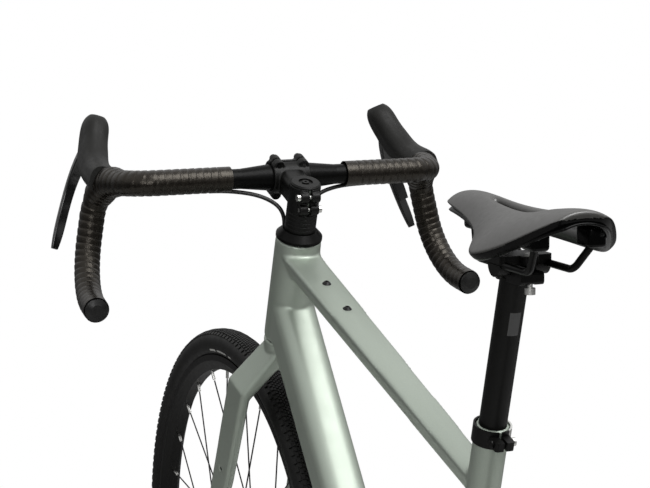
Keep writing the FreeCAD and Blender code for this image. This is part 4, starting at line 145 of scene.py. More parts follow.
# Bar tape, wound in turns that lap over each other
TAPE_START = 0.0727
TAPE_STEP = 0.001
TAPE_RADIUS = 0.0144
TAPE_CORNERS = 28
TAPE_PITCH = 0.0092
TAPE_LAP = 0.0006
TAPE_LIFT = 0.0006
TAPE_SWELL = 0.0003
TAPE_EDGE_SHARE = 0.1
TAPE_WANDER = 0.12
TAPE_WANDER_RATE = 0.045
TAPE_BAND_ROWS = 15
TAPE_BAND_LIFT = 0.0009
BEND_STEPS = 24
HOOD_WRAP = 0.0036
HOOD_WRAP_ALONG = (0.345, 0.374)
HOOD_WRAP_UP = (0.893, 0.912)

# Tyre section as height above the axle and distance to the left, and rows of tread blocks as
# side, drop, tilt, width, length, height, count in a pitch and shift
TYRE_HALF = (
    (0.3492, 0.0), (0.3490, 0.0045), (0.3482, 0.0085), (0.3465, 0.0122), (0.3436, 0.0155),
    (0.3395, 0.0178), (0.3345, 0.0189), (0.3290, 0.0187), (0.3240, 0.0172), (0.3205, 0.0152),
    (0.3184, 0.0132), (0.3170, 0.0112), (0.3128, 0.0110),
)
TYRE_SECTION = TYRE_HALF + tuple((height, -side) for height, side in reversed(TYRE_HALF[1:]))
TYRE_HALF_WIDTH = 0.02
TYRE_MERGE_DISTANCE = 0.00002
TREAD_PITCHES = 96
TREAD_ROWS = (
    (0.0, 0.0002, 0.00, 0.0024, 0.0036, 0.0022, 4, 0.00),
    (0.0031, 0.0003, 0.10, 0.0024, 0.0036, 0.0022, 4, 0.50),
    (0.0062, 0.0008, 0.20, 0.0024, 0.0036, 0.0022, 4, 0.00),
    (0.0096, 0.0018, 0.36, 0.0034, 0.0044, 0.0024, 3, 0.25),
    (0.0139, 0.0043, 0.66, 0.0046, 0.0070, 0.0028, 2, 0.25),
)

# Saddle stations as place along the bike, half width, crown height and edge height
SADDLE_STATIONS = (
    (-0.4015, 0.020, 0.9655, 0.9610),
    (-0.3960, 0.031, 0.9668, 0.9565),
    (-0.3780, 0.045, 0.9662, 0.9455),
    (-0.3560, 0.059, 0.9632, 0.9325),
    (-0.3340, 0.0705, 0.9600, 0.9240),
    (-0.3160, 0.0725, 0.9580, 0.9210),
    (-0.3000, 0.063, 0.9572, 0.9245),
    (-0.2800, 0.048, 0.9570, 0.9305),
    (-0.2560, 0.0365, 0.9580, 0.9345),
    (-0.2320, 0.030, 0.9600, 0.9395),
    (-0.2060, 0.0265, 0.9620, 0.9445),
    (-0.1820, 0.024, 0.9620, 0.9480),
    (-0.1640, 0.020, 0.9590, 0.9490),
    (-0.1545, 0.013, 0.9540, 0.9490),
)
SADDLE_COLUMNS = (-1.0, -0.95, -0.82, -0.6, -0.36, -0.14, 0.0, 0.14, 0.36, 0.6, 0.82, 0.95, 1.0)
SADDLE_CROWN_POWER = 2.3
GRID_DIGITS = 4
SLOT_SHARE = 0.14
SLOT_HALF_WIDTH = 0.0075
SLOT_FRONT = -0.228
SLOT_REAR = -0.326
SADDLE_FOAM = 0.012
SADDLE_UNDERSIDE = -0.2
BASE_WIDTH_SHARE = 0.9
BASE_DROP = 0.0095
BASE_THICKNESS = 0.003
NOSE_BLOCK = Vector((-0.214, 0.0, 0.9385))
NOSE_BLOCK_SIZE = Vector((0.024, 0.040, 0.020))
TAIL_BLOCK = Vector((-0.362, 0.028, 0.9385))
TAIL_BLOCK_SIZE = Vector((0.026, 0.018, 0.020))
BLOCK_EDGE = 0.004


# Working with pieces
def deselect():
    if bpy.context.mode != "OBJECT":
        bpy.ops.object.mode_set(mode="OBJECT")
    bpy.ops.object.select_all(action="DESELECT")


def pick(piece):
    deselect()
    piece.select_set(True)
    bpy.context.view_layer.objects.active = piece
    return piece


def apply_modifier(piece, kind, **settings):
    pick(piece)
    modifier = piece.modifiers.new(kind.lower(), kind)
    for name, value in settings.items():
        setattr(modifier, name, value)
    bpy.ops.object.modifier_apply(modifier=modifier.name)


def copy_of_nodes(name, *wanted):
    """A joined copy of CAD nodes, with its loose triangles merged."""
    deselect()
    copies = []
    for node in wanted:
        copy = bpy.data.objects.new(name, nodes[node].data.copy())
        bpy.context.scene.collection.objects.link(copy)
        copy.select_set(True)
        copies.append(copy)
    bpy.context.view_layer.objects.active = copies[0]
    if len(copies) > 1:
        bpy.ops.object.join()
    piece = bpy.context.object
    bpy.ops.object.mode_set(mode="EDIT")
    bpy.ops.mesh.select_all(action="SELECT")
    bpy.ops.mesh.remove_doubles(threshold=MERGE_DISTANCE)
    bpy.ops.object.mode_set(mode="OBJECT")
    return piece


def delete_faces(piece, chosen):
    """Deletes the faces whose middles are chosen."""
    pick(piece)
    bpy.ops.object.mode_set(mode="EDIT")
    bpy.ops.mesh.select_mode(type="FACE")
    bpy.ops.mesh.select_all(action="DESELECT")
    bpy.ops.object.mode_set(mode="OBJECT")
    for face in piece.data.polygons:
        face.select = chosen(face.center)
    bpy.ops.object.mode_set(mode="EDIT")
    bpy.ops.mesh.delete(type="FACE")
    bpy.ops.object.mode_set(mode="OBJECT")


def settle(piece, body, slot, material, *replaced, angle=40):
    """Puts the finish on a piece and hands it to its body."""
    pick(piece)
    bpy.ops.object.transform_apply(location=True, rotation=True, scale=True)
    bpy.ops.object.shade_smooth_by_angle(angle=math.radians(angle))
    piece.data.materials.clear()
    piece.data.materials.append(material)
    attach(piece, body)
    if replaced:
        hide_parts(*replaced)


# Finishes
LOW_GLOSS_SHARE = 0.88
HIGH_GLOSS_SHARE = 1.12
GRAINS_IN_A_PATCH = 8


class Finish:
    """A procedural material that is built up node by node."""

    COLOUR_STOPS = (0.35, 0.65)
    GLOSS_STOPS = (0.3, 0.7)
    # Sockets of a Mix node that mixes colours
    MIX_FIRST, MIX_SECOND, MIX_RESULT = 6, 7, 2

    def __init__(self, name, roughness=0.5, metallic=0.0, coat=0.0, coat_roughness=0.1, specular=0.5):
        self.material = bpy.data.materials.new(name)
        self.material.use_nodes = True
        self.tree = self.material.node_tree
        self.shader = self.tree.nodes["Principled BSDF"]
        self.set(self.shader, "Roughness", roughness)
        self.set(self.shader, "Metallic", metallic)
        self.set(self.shader, "Coat Weight", coat)
        self.set(self.shader, "Coat Roughness", coat_roughness)
        self.set(self.shader, "Specular IOR Level", specular)
        self.coordinates = self.tree.nodes.new("ShaderNodeTexCoord")

    def set(self, node, socket, value):
        node.inputs[socket].default_value = value

    def link(self, source, target):
        self.tree.links.new(source, target)

    def node(self, kind, **settings):
        node = self.tree.nodes.new(kind)
        for name, value in settings.items():
            setattr(node, name, value)
        return node

    def noise(self, scale, detail=3.0, stretch=(1, 1, 1)):
        mapping = self.node("ShaderNodeMapping")
        self.set(mapping, "Scale", stretch)
        self.link(self.coordinates.outputs["Object"], mapping.inputs["Vector"])
        noise = self.node("ShaderNodeTexNoise")
        self.set(noise, "Scale", scale)
        self.set(noise, "Detail", detail)
        self.link(mapping.outputs["Vector"], noise.inputs["Vector"])
        return noise.outputs["Fac"]

    def ramp(self, source, stops, values):
        ramp = self.node("ShaderNodeValToRGB")
        for element, stop, value in zip(ramp.color_ramp.elements, stops, values):
            element.position = stop
            element.color = (*value, 1.0) if hasattr(value, "__len__") else (value, value, value, 1.0)
        self.link(source, ramp.inputs["Fac"])
        return ramp.outputs["Color"]

    def math(self, operation, *values):
        node = self.node("ShaderNodeMath", operation=operation)
        for socket, value in zip(node.inputs, values):
            if isinstance(value, (int, float)):
                socket.default_value = value
            else:
                self.link(value, socket)
        return node.outputs["Value"]

    def within(self, value, low, high):
        """1 between two limits, 0 outside them."""
        above = self.math("GREATER_THAN", value, low)
        return self.math("MULTIPLY", above, self.math("LESS_THAN", value, high))

    def total(self, masks):
        """The sum of masks that don't lie over each other."""
        summed = masks[0]
        for mask in masks[1:]:
            summed = self.math("ADD", summed, mask)
        return summed

    def parts(self, centre=(0, 0, 0), turn=(0, 0, 0)):
        """The three coordinates about a centre, after a turn."""
        split = self.node("ShaderNodeSeparateXYZ")
        moved = self.node("ShaderNodeVectorMath", operation="SUBTRACT")
        self.link(self.coordinates.outputs["Object"], moved.inputs[0])
        moved.inputs[1].default_value = centre
        turned = self.node("ShaderNodeMapping")
        self.set(turned, "Rotation", turn)
        self.link(moved.outputs["Vector"], turned.inputs["Vector"])
        self.link(turned.outputs["Vector"], split.inputs["Vector"])
        return split.outputs["X"], split.outputs["Y"], split.outputs["Z"]

    def distance(self, first, second):
        squares = [self.math("POWER", side, 2.0) for side in (first, second)]
        return self.math("SQRT", self.math("ADD", *squares))

    def overlay(self, mask, colour, metallic=0.0):
        """Another colour, and bare metal if asked for, where the mask is 1."""
        base = self.shader.inputs["Base Color"]
        mix = self.node("ShaderNodeMix", data_type="RGBA")
        self.link(mask, mix.inputs["Factor"])
        self.link(base.links[0].from_socket, mix.inputs[self.MIX_FIRST])
        mix.inputs[self.MIX_SECOND].default_value = (*colour, 1.0)
        self.link(mix.outputs[self.MIX_RESULT], base)
        if metallic:
            self.link(self.math("MULTIPLY", mask, metallic), self.shader.inputs["Metallic"])
        return self

    def colour(self, source, low, high):
        self.link(self.ramp(source, self.COLOUR_STOPS, (low, high)), self.shader.inputs["Base Color"])

    def sheen_spread(self, source, low, high):
        self.link(self.ramp(source, self.GLOSS_STOPS, (low, high)), self.shader.inputs["Roughness"])

    def bump(self, source, height):
        """A relief on top of the reliefs given before it."""
        bump = self.node("ShaderNodeBump")
        self.set(bump, "Strength", 1.0)
        self.set(bump, "Distance", height)
        self.link(source, bump.inputs["Height"])
        before = self.shader.inputs["Normal"].links
        if before:
            self.link(before[0].from_socket, bump.inputs["Normal"])
        self.link(bump.outputs["Normal"], self.shader.inputs["Normal"])


def plain_finish(name, low, high, roughness, scale, height, **settings):
    """A finish with mottled colour, uneven gloss and a fine grain."""
    finish = Finish(name, **settings)
    grain = finish.noise(scale)
    finish.colour(grain, low, high)
    patches = finish.noise(scale / GRAINS_IN_A_PATCH)
    finish.sheen_spread(patches, roughness * LOW_GLOSS_SHARE, roughness * HIGH_GLOSS_SHARE)
    finish.bump(grain, height)
    return finish


def frame_paint():
    finish = Finish("sage_satin_paint", metallic=0.6, coat=0.15, coat_roughness=0.3)
    flakes = finish.noise(scale=2600, detail=2.0)
    finish.colour(flakes, low=(0.325, 0.370, 0.318), high=(0.400, 0.448, 0.390))
    finish.sheen_spread(finish.noise(scale=40), low=0.43, high=0.48)
    finish.bump(finish.noise(scale=500, detail=2.0), height=0.00001)
    return finish


def black_alloy(name):
    return plain_finish(name, (0.0028, 0.0028, 0.0026), (0.0050, 0.0050, 0.0046),
                        roughness=0.40, scale=1800, height=0.00001, specular=0.16)


def dark_gloss(name):
    return plain_finish(name, (0.0016, 0.0016, 0.0015), (0.0030, 0.0030, 0.0028),
                        roughness=0.34, scale=1800, height=0.00001, specular=0.08)


def black_steel(name):
    return plain_finish(name, (0.0035, 0.0035, 0.0035), (0.0070, 0.0070, 0.0070),
                        roughness=0.28, scale=1500, height=0.00001, specular=0.25)


def bar_tape():
    """Leather-like tape: fine grain, creases along the bar and a brown gloss."""
    finish = Finish("creased_bar_tape", specular=0.36)
    finish.set(finish.shader, "Specular Tint", (1.0, 0.92, 0.80, 1.0))
    creases = finish.noise(scale=260, detail=6.0, stretch=(0.6, 1.6, 1.0))
    finish.colour(creases, low=(0.0030, 0.0024, 0.0019), high=(0.0080, 0.0064, 0.0050))
    finish.sheen_spread(finish.noise(scale=110), low=0.20, high=0.34)
    finish.bump(creases, height=0.0004)
    finish.bump(finish.noise(scale=1100, detail=2.0), height=0.0001)
    return finish


def tyre_rubber(name):
    return plain_finish(name, (0.0028, 0.0028, 0.0026), (0.0066, 0.0065, 0.0060),
                        roughness=0.5, scale=700, height=0.0001, specular=0.2)


def marked_tyre():
    """Tyre rubber with plain pale dashes on both sides."""
    finish = tyre_rubber("tyre_rubber_with_dashes")
    x, _, z = finish.parts(FRONT_AXLE)
    band = finish.within(finish.distance(x, z), *DASH_BAND)
    turn = finish.math("ARCTAN2", z, x)
    dashes = finish.total([finish.within(turn, start, end) for start, end in DASHES])
    return finish.overlay(finish.math("MULTIPLY", band, dashes), DASH_COLOUR)


def spoke_steel(name, axle):
    """Black spokes with bright nipples at the rim."""
    finish = black_steel(name)
    x, _, z = finish.parts(axle)
    nipples = finish.within(finish.distance(x, z), *NIPPLE_BAND)
    return finish.overlay(nipples, NIPPLE_COLOUR, metallic=1.0)


def marked_post():
    """The black post with one plain grey block on its back."""
    finish = black_alloy("black_post")
    x, y, z = finish.parts(SEAT_TUBE_TOP, (0, math.asin(-SEAT_UP.x), 0))
    mark = finish.math("MULTIPLY", finish.within(y, *POST_MARK_ACROSS), finish.within(z, *POST_MARK_UP))
    behind = finish.math("LESS_THAN", x, 0.0)
    return finish.overlay(finish.math("MULTIPLY", mark, behind), POST_MARK_COLOUR)


def clamp_alloy():
    """The black saddle clamp with bright bolts and nuts."""
    finish = black_alloy("black_clamp")
    bolts = []
    for way in (1, -1):
        x, y, _ = finish.parts(RAIL_CENTRE + Vector((way * CLAMP_BOLT_OFFSET, 0, 0)))
        bolts.append(finish.math("LESS_THAN", finish.distance(x, y), CLAMP_BOLT_RADIUS))
    return finish.overlay(finish.total(bolts), BOLT_COLOUR, metallic=1.0)


def collar_alloy():
    """The black collar with the bright head of its bolt on the right."""
    finish = black_alloy("black_collar")
    _, y, _ = finish.parts()
    return finish.overlay(finish.math("LESS_THAN", y, COLLAR_BOLT_FROM), BOLT_COLOUR, metallic=1.0)


def stem_bolt_steel():
    """Bright bolts behind the steerer, blackened ones at the bar."""
    finish = black_steel("stem_bolt_steel")
    x, _, _ = finish.parts()
    return finish.overlay(finish.math("LESS_THAN", x, BRIGHT_BOLTS_BEHIND), BOLT_COLOUR, metallic=1.0)


finishes = {
    "frame_paint": frame_paint(),
    "black_alloy": black_alloy("black_anodised_alloy"),
    "bar_tape": bar_tape(),
    "dark_plastic": plain_finish(
        "dark_plastic", (0.0035, 0.0035, 0.0034), (0.0065, 0.0065, 0.0062),
        roughness=0.36, scale=1200, height=0.00002, specular=0.35),
    "lever_gloss": plain_finish(
        "gloss_black_lacquer", (0.0035, 0.0035, 0.0035), (0.006, 0.006, 0.006),
        roughness=0.16, scale=900, height=0.000003, coat=0.5, specular=0.4),
    "hood_rubber": plain_finish(
        "hood_rubber", (0.0075, 0.0074, 0.0068), (0.0125, 0.0123, 0.0112),
        roughness=0.5, scale=1500, height=0.00006, specular=0.2),
    "hose_black": plain_finish(
        "hose_jacket", (0.005, 0.005, 0.005), (0.009, 0.009, 0.009),
        roughness=0.34, scale=900, height=0.00001, specular=0.4),
    "tyre_rubber": tyre_rubber("tyre_rubber"),
    "saddle_cover": plain_finish(
        "saddle_cover", (0.031, 0.030, 0.028), (0.046, 0.045, 0.042),
        roughness=0.36, scale=1400, height=0.00006, specular=0.75),
    "saddle_base": plain_finish(
        "gloss_saddle_base", (0.0016, 0.0016, 0.0016), (0.0030, 0.0030, 0.0030),
        roughness=0.16, scale=700, height=0.00001, specular=0.08),
    "black_steel": black_steel("blackened_steel"),
    "bright_steel": plain_finish(
        "bright_steel", (0.52, 0.52, 0.51), (0.62, 0.62, 0.60),
        roughness=0.25, scale=1500, height=0.00001, metallic=1.0),
}
finishes = {name: finish.material for name, finish in finishes.items()}
node_finishes = {
    "seatpost": marked_post().material,
    "saddle_clamp": clamp_alloy().material,
    "handlebar": dark_gloss("black_bar").material,
    "headset_cover": dark_gloss("black_cover").material,
    "seat_clamp": collar_alloy().material,
    "stem_bolts": stem_bolt_steel().material,
    "frame_bolts": black_steel("black_frame_bolts").material,
    "saddle_rails": dark_gloss("black_rails").material,
    "front_spokes": spoke_steel("front_spoke_steel", FRONT_AXLE).material,
    "rear_spokes": spoke_steel("rear_spoke_steel", REAR_AXLE).material,
}
for node, piece in nodes.items():
    for index, slot in enumerate(piece.material_slots):
        name = slot.material.name.split(".")[0]
        piece.data.materials[index] = node_finishes.get(node, finishes[name])


# The painted frame and fork
def solid_of(node):
    """A filled copy of a straight tube or ring."""
    piece = copy_of_nodes(node + "_filled", node)
    bpy.ops.object.mode_set(mode="EDIT")
    bpy.ops.mesh.select_all(action="SELECT")
    bpy.ops.mesh.convex_hull()
    bpy.ops.object.mode_set(mode="OBJECT")
    return piece


def rod(name, start, end, radius, sides=32):
    """A round bar between two points."""
    deselect()
    along = end - start
    bpy.ops.mesh.primitive_cylinder_add(vertices=sides, radius=radius, depth=along.length,
                                        location=(start + end) / 2,
                                        rotation=along.to_track_quat("Z", "Y").to_euler())
    piece = bpy.context.object
    piece.name = name
    return piece


def joined(name, pieces):
    deselect()
    for piece in pieces:
        piece.select_set(True)
    bpy.context.view_layer.objects.active = pieces[0]
    if len(pieces) > 1:
        bpy.ops.object.join()
    piece = bpy.context.object
    piece.name = name
    bpy.ops.object.transform_apply(location=True, rotation=True, scale=True)
    return piece


def cast(piece, grid, rounds):
    """Melts touching shapes into one skin and eases its edges."""
    apply_modifier(piece, "REMESH", mode="VOXEL", voxel_size=grid, use_smooth_shade=True)
    apply_modifier(piece, "SMOOTH", factor=SMOOTH_FACTOR, iterations=rounds)
    return piece


def soften(piece, chosen, rounds):
    """Eases only the chosen part of a skin."""
    group = piece.vertex_groups.new(name="eased")
    group.add([vertex.index for vertex in piece.data.vertices if chosen(vertex.co)], 1.0, "REPLACE")
    apply_modifier(piece, "SMOOTH", factor=SMOOTH_FACTOR, iterations=rounds, vertex_group=group.name)
    piece.vertex_groups.remove(piece.vertex_groups["eased"])


def cut_away(piece, *cutters):
    tool = joined("cutter", list(cutters))
    apply_modifier(piece, "BOOLEAN", operation="DIFFERENCE", object=tool, solver="EXACT")
    bpy.data.objects.remove(tool)


def slim_top_tube():
    """The top tube with its own flat top and less depth below it."""
    tube = copy_of_nodes("top_tube_skin", "top_tube")
    along = TOP_BOLTS[0] - TOP_BOLTS[1]
    out = Vector((-along.z, 0.0, along.x)).normalized()
    level = max(vertex.co.dot(out) for vertex in tube.data.vertices)
    for vertex in tube.data.vertices:
        depth = level - vertex.co.dot(out)
        vertex.co += out * (depth * TOP_TUBE_RISE)
    return tube


def plug(name, spot, out, start, radius):
    """A short bar that closes a hole below the tube's face."""
    return rod(name, spot - out * start, spot - out * PLUG_END, radius)


def painted_frame():
    """Head tube, main tubes and stays run into each other without a seam."""
    shapes = [copy_of_nodes("frame_skin", "down_tube", "chainstays", "seatstays", "dropouts"), slim_top_tube()]
    shapes += [solid_of(node) for node in ("head_tube", "seat_tube", "bottom_bracket_shell")]
    for spot in DOWN_BOSSES:
        shapes.append(plug("boss_plug", spot, DOWN_BOSS_OUT, BOSS_PLUG_START, BOSS_PLUG_RADIUS))
    for spot in TOP_BOLTS:
        shapes.append(plug("bolt_plug", spot, TOP_BOLT_OUT, BOLT_PLUG_START, BOLT_PLUG_RADIUS))
    # The walls of the down tube need this grid: at 2.6 mm it tore them open
    piece = cast(joined("frame_skin", shapes), FRAME_GRID, FRAME_ROUNDS)
    soften(piece, lambda place: place.x > FRONT_TUBES_FROM, FRONT_TUBES_ROUNDS)
    cut_away(piece, rod("post_bore", SEAT_TUBE_TOP - SEAT_UP * POST_BORE_DEPTH,
                        SEAT_TUBE_TOP + SEAT_UP * POST_BORE_OVERRUN, POST_BORE_RADIUS))
    settle(piece, "frame", "frame_paint", finishes["frame_paint"], "head_tube", "top_tube", "down_tube",
           "seat_tube", "bottom_bracket_shell", "chainstays", "seatstays", "dropouts", angle=50)


def painted_fork():
    """Crown and blades in one skin, with the threaded holes of the blades painted black inside as painted
    shade.
    """
    piece = cast(copy_of_nodes("fork_skin", "fork_crown", "fork_blades"), FORK_GRID, FORK_ROUNDS)
    drills = []
    for way in (1, -1):
        flip = Vector((1, way, 1))
        for spot in FORK_HOLES:
            drills.append(rod("drill", (spot + FORK_HOLE_OUT * DRILL_OVERRUN) * flip,
                              (spot - FORK_HOLE_OUT * DRILL_DEPTH) * flip, FORK_HOLE_RADIUS, DRILL_SIDES))
    cut_away(piece, *drills)
    settle(piece, "steering", "frame_paint", finishes["frame_paint"], "fork_crown", "fork_blades", angle=50)
    # Faces inside the holes get the black finish: painted shade in the holes, not the colour of their threads
    piece.data.materials.append(finishes["black_steel"])
    for face in piece.data.polygons:
        place = Vector((face.center.x, abs(face.center.y), face.center.z))
        for spot in FORK_HOLES:
            reach = place - spot
            depth = reach.dot(FORK_HOLE_OUT)
            aside = (reach - FORK_HOLE_OUT * depth).length
            if HOLE_SHADE_FROM < depth < HOLE_SHADE_TO and aside < FORK_HOLE_RADIUS * HOLE_SHADE_REACH_SHARE:
                face.material_index = 1


# The stem
def forged_stem():
    """Stem and faceplate with the soft edges of a forging."""
    for node in ("stem", "stem_faceplate"):
        piece = cast(copy_of_nodes("forged_" + node, node), STEM_GRID, STEM_ROUNDS)
        settle(piece, "steering", "black_alloy", finishes["black_alloy"], node, angle=50)


# The wound bar tape
def bent_path(points, bends, step):
    """Evenly spaced points along straight runs joined by round bends."""
    line = [points[0]]
    for corner, bend in zip(range(1, len(points) - 1), bends):
        here = points[corner]
        back = (points[corner - 1] - here).normalized()
        onward = (points[corner + 1] - here).normalized()
        half = back.angle(onward) / 2
        reach = bend / math.tan(half)
        middle = here + (back + onward).normalized() * (bend / math.sin(half))
        spoke = here + back * reach - middle
        axis = spoke.cross(here + onward * reach - middle).normalized()
        turn = math.pi - 2 * half
        for part in range(BEND_STEPS + 1):
            line.append(middle + Matrix.Rotation(turn * part / BEND_STEPS, 3, axis) @ spoke)
    line.append(points[-1])
    even = [line[0]]
    rest = step
    for start, end in zip(line, line[1:]):
        length = (end - start).length
        while rest <= length:
            even.append(start.lerp(end, rest / length))
            rest += step
        rest -= length
    return even


def tube_along(name, line, radius, corners):
    """A mesh tube on a path, with its rings in order."""
    curve = bpy.data.curves.new(name, "CURVE")
    curve.dimensions = "3D"
    curve.bevel_depth = radius
    curve.bevel_resolution = corners // 2 - 2
    curve.use_fill_caps = False
    spline = curve.splines.new("POLY")
    spline.points.add(len(line) - 1)
    for point, place in zip(spline.points, line):
        point.co = (*place, 1.0)
    piece = bpy.data.objects.new(name, curve)
    bpy.context.scene.collection.objects.link(piece)
    pick(piece)
    bpy.ops.object.convert(target="MESH")
    return bpy.context.object


def mirrored_copy(piece, name):
    """The same piece for the right side."""
    pick(piece)
    bpy.ops.object.duplicate()
    copy = bpy.context.object
    copy.name = name
    copy.scale.y = -1
    bpy.ops.object.transform_apply(location=True, rotation=True, scale=True)
    bpy.ops.object.mode_set(mode="EDIT")
    bpy.ops.mesh.select_all(action="SELECT")
    bpy.ops.mesh.flip_normals()
    bpy.ops.object.mode_set(mode="OBJECT")
    return copy


def eased(value, low, high):
    """0 below one limit, 1 above the other and a smooth step between."""
    share = min(max((value - low) / (high - low), 0.0), 1.0)
    return share * share * (3 - 2 * share)


def wound_tape():
    """Tape laid in overlapping turns, with a smooth band round its start and a swelling at the hood."""
    line = bent_path(BAR_POINTS, BAR_BENDS, TAPE_STEP)
    line = line[round(TAPE_START / TAPE_STEP):]
    piece = tube_along("wound_tape_left", line, TAPE_RADIUS, TAPE_CORNERS)
    corners = len(piece.data.vertices) // len(line)
    for vertex in piece.data.vertices:
        row, corner = divmod(vertex.index, corners)
        centre = line[min(row, len(line) - 1)]
        wander = TAPE_WANDER * math.sin(row * TAPE_WANDER_RATE)
        share = (row * TAPE_STEP / TAPE_PITCH + corner / corners + wander) % 1.0
        lap = share / TAPE_EDGE_SHARE if share < TAPE_EDGE_SHARE else (1.0 - share) / (1.0 - TAPE_EDGE_SHARE)
        swell = math.sin(math.pi * share)
        radius = TAPE_RADIUS + TAPE_LIFT + TAPE_LAP * (lap - 0.5) + TAPE_SWELL * swell
        radius += HOOD_WRAP * eased(centre.x, *HOOD_WRAP_ALONG) * eased(centre.z, *HOOD_WRAP_UP)
        if row < TAPE_BAND_ROWS:
            radius = TAPE_RADIUS + TAPE_BAND_LIFT
        vertex.co = centre + (vertex.co - centre).normalized() * radius
    return piece


def bar_tapes():
    left = wound_tape()
    right = mirrored_copy(left, "wound_tape_right")
    piece = joined("wound_tape", [left, right])
    settle(piece, "steering", "bar_tape", finishes["bar_tape"], "bar_tape", angle=60)


# The brake hoses
def brake_hoses():
    """A smooth hose on each side of the stem, and the caliper's hose as the part has it."""
    for side, way in (("left", 1), ("right", -1)):
        curve = bpy.data.curves.new("brake_hose_" + side, "CURVE")
        curve.dimensions = "3D"
        curve.bevel_depth = HOSE_DIAMETER / 2
        curve.bevel_resolution = HOSE_BEVEL_STEPS
        curve.resolution_u = HOSE_CURVE_STEPS
        curve.use_fill_caps = True
        spline = curve.splines.new("NURBS")
        spline.points.add(len(HOSE_ROUTE) - 1)
        for point, place in zip(spline.points, HOSE_ROUTE):
            point.co = (place.x, way * place.y, place.z, 1.0)
        spline.order_u = HOSE_ORDER
        spline.use_endpoint_u = True
        curve.materials.append(finishes["hose_black"])
        piece = bpy.data.objects.new(curve.name, curve)
        bpy.context.scene.collection.objects.link(piece)
        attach(piece, "steering")
        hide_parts("front_hoses")
    lower = copy_of_nodes("front_caliper_hose", "front_hoses")
    delete_faces(lower, lambda middle: middle.z > COCKPIT_FROM)
    settle(lower, "steering", "hose_black", finishes["hose_black"], "front_hoses")


# The tyres
def tyre_carcass(name):
    """A cross-section circle shaped to the tyre and spun about the front axle."""
    deselect()
    bpy.ops.mesh.primitive_circle_add(vertices=len(TYRE_SECTION), radius=TYRE_HALF_WIDTH)
    piece = bpy.context.object
    piece.name = name
    for vertex, (height, side) in zip(piece.data.vertices, TYRE_SECTION):
        vertex.co = FRONT_AXLE + Vector((0, side, height))
    bpy.ops.object.mode_set(mode="EDIT")
    bpy.ops.mesh.select_all(action="SELECT")
    bpy.ops.mesh.spin(steps=TREAD_PITCHES * 2, angle=2 * math.pi, center=FRONT_AXLE, axis=(0, 1, 0))
    bpy.ops.mesh.select_all(action="SELECT")
    bpy.ops.mesh.remove_doubles(threshold=TYRE_MERGE_DISTANCE)
    bpy.ops.mesh.normals_make_consistent(inside=False)
    bpy.ops.object.mode_set(mode="OBJECT")
    return piece


def tread_blocks(name):
    """One pitch of tread blocks at the top of the tyre, copied all round."""
    deselect()
    bpy.ops.mesh.primitive_cube_add(size=1)
    piece = bpy.context.object
    piece.name = name
    bpy.ops.object.mode_set(mode="EDIT")
    bpy.ops.mesh.delete(type="VERT")
    pitch = 2 * math.pi * WHEEL_RADIUS / TREAD_PITCHES
    for side, drop, tilt, width, length, height, count, shift in TREAD_ROWS:
        for row in range(count):
            along = pitch * ((row + shift) / count - 0.5)
            for way in ((1, -1) if side else (1,)):
                place = FRONT_AXLE + Vector((along, way * side, WHEEL_RADIUS - drop - height / 2))
                bpy.ops.mesh.primitive_cube_add(size=1, location=place, scale=(length, width, height),
                                                rotation=(-way * tilt, 0, 0))
    bpy.ops.mesh.select_all(action="SELECT")
    bpy.ops.mesh.spin(steps=TREAD_PITCHES - 1, dupli=True, angle=2 * math.pi * (1 - 1 / TREAD_PITCHES),
                      center=FRONT_AXLE, axis=(0, 1, 0))
    bpy.ops.object.mode_set(mode="OBJECT")
    return piece


def treaded_tyres():
    front = joined("front_tyre_rubber", [tyre_carcass("carcass"), tread_blocks("tread")])
    pick(front)
    bpy.ops.object.duplicate()
    rear = bpy.context.object
    rear.name = "rear_tyre_rubber"
    rear.location = REAR_AXLE - FRONT_AXLE
    settle(front, "front_wheel", "tyre_rubber", marked_tyre().material, "front_tyre", angle=35)
    settle(rear, "rear_wheel", "tyre_rubber", finishes["tyre_rubber"], "rear_tyre", angle=35)


# The saddle
def grid_place(vertex):
    return round(vertex.co.x, GRID_DIGITS), round(vertex.co.y, GRID_DIGITS)


def saddle_sheet(name, width, drop):
    """A crowned grid with a slot, at a share of the saddle's width and some way below its cover."""
    stations = len(SADDLE_STATIONS)
    columns = len(SADDLE_COLUMNS)
    deselect()
    bpy.ops.mesh.primitive_grid_add(x_subdivisions=stations - 1, y_subdivisions=columns - 1, size=1)
    piece = bpy.context.object
    piece.name = name
    points = sorted(piece.data.vertices, key=grid_place)
    for index, vertex in enumerate(points):
        x, half, crown, edge = SADDLE_STATIONS[index // columns]
        share = SADDLE_COLUMNS[index % columns]
        if abs(share) <= SLOT_SHARE:
            y = share / SLOT_SHARE * min(SLOT_HALF_WIDTH, half * SLOT_SHARE)
        else:
            y = share * half * width
        fall = (abs(y) / half) ** SADDLE_CROWN_POWER
        vertex.co = (x, y, crown - (crown - edge) * fall - drop)
    delete_faces(piece, lambda middle: SLOT_REAR < middle.x < SLOT_FRONT and abs(middle.y) < SLOT_HALF_WIDTH)
    bpy.ops.object.mode_set(mode="EDIT")
    bpy.ops.mesh.select_all(action="SELECT")
    bpy.ops.mesh.normals_make_consistent(inside=False)
    bpy.ops.object.mode_set(mode="OBJECT")
    if piece.data.polygons[0].normal.z < 0:
        bpy.ops.object.mode_set(mode="EDIT")
        bpy.ops.mesh.flip_normals()
        bpy.ops.object.mode_set(mode="OBJECT")
    return piece


def saddle_cushion():
    """The cover over its foam, dark underneath."""
    piece = saddle_sheet("saddle_cushion", 1.0, 0.0)
    apply_modifier(piece, "SOLIDIFY", thickness=SADDLE_FOAM, offset=-1.0)
    apply_modifier(piece, "SUBSURF", levels=3, render_levels=3)
    settle(piece, "saddle", "saddle_cover", finishes["saddle_cover"], "saddle_pad", angle=60)
    piece.data.materials.append(finishes["saddle_base"])
    for face in piece.data.polygons:
        face.material_index = 1 if face.normal.z < SADDLE_UNDERSIDE else 0


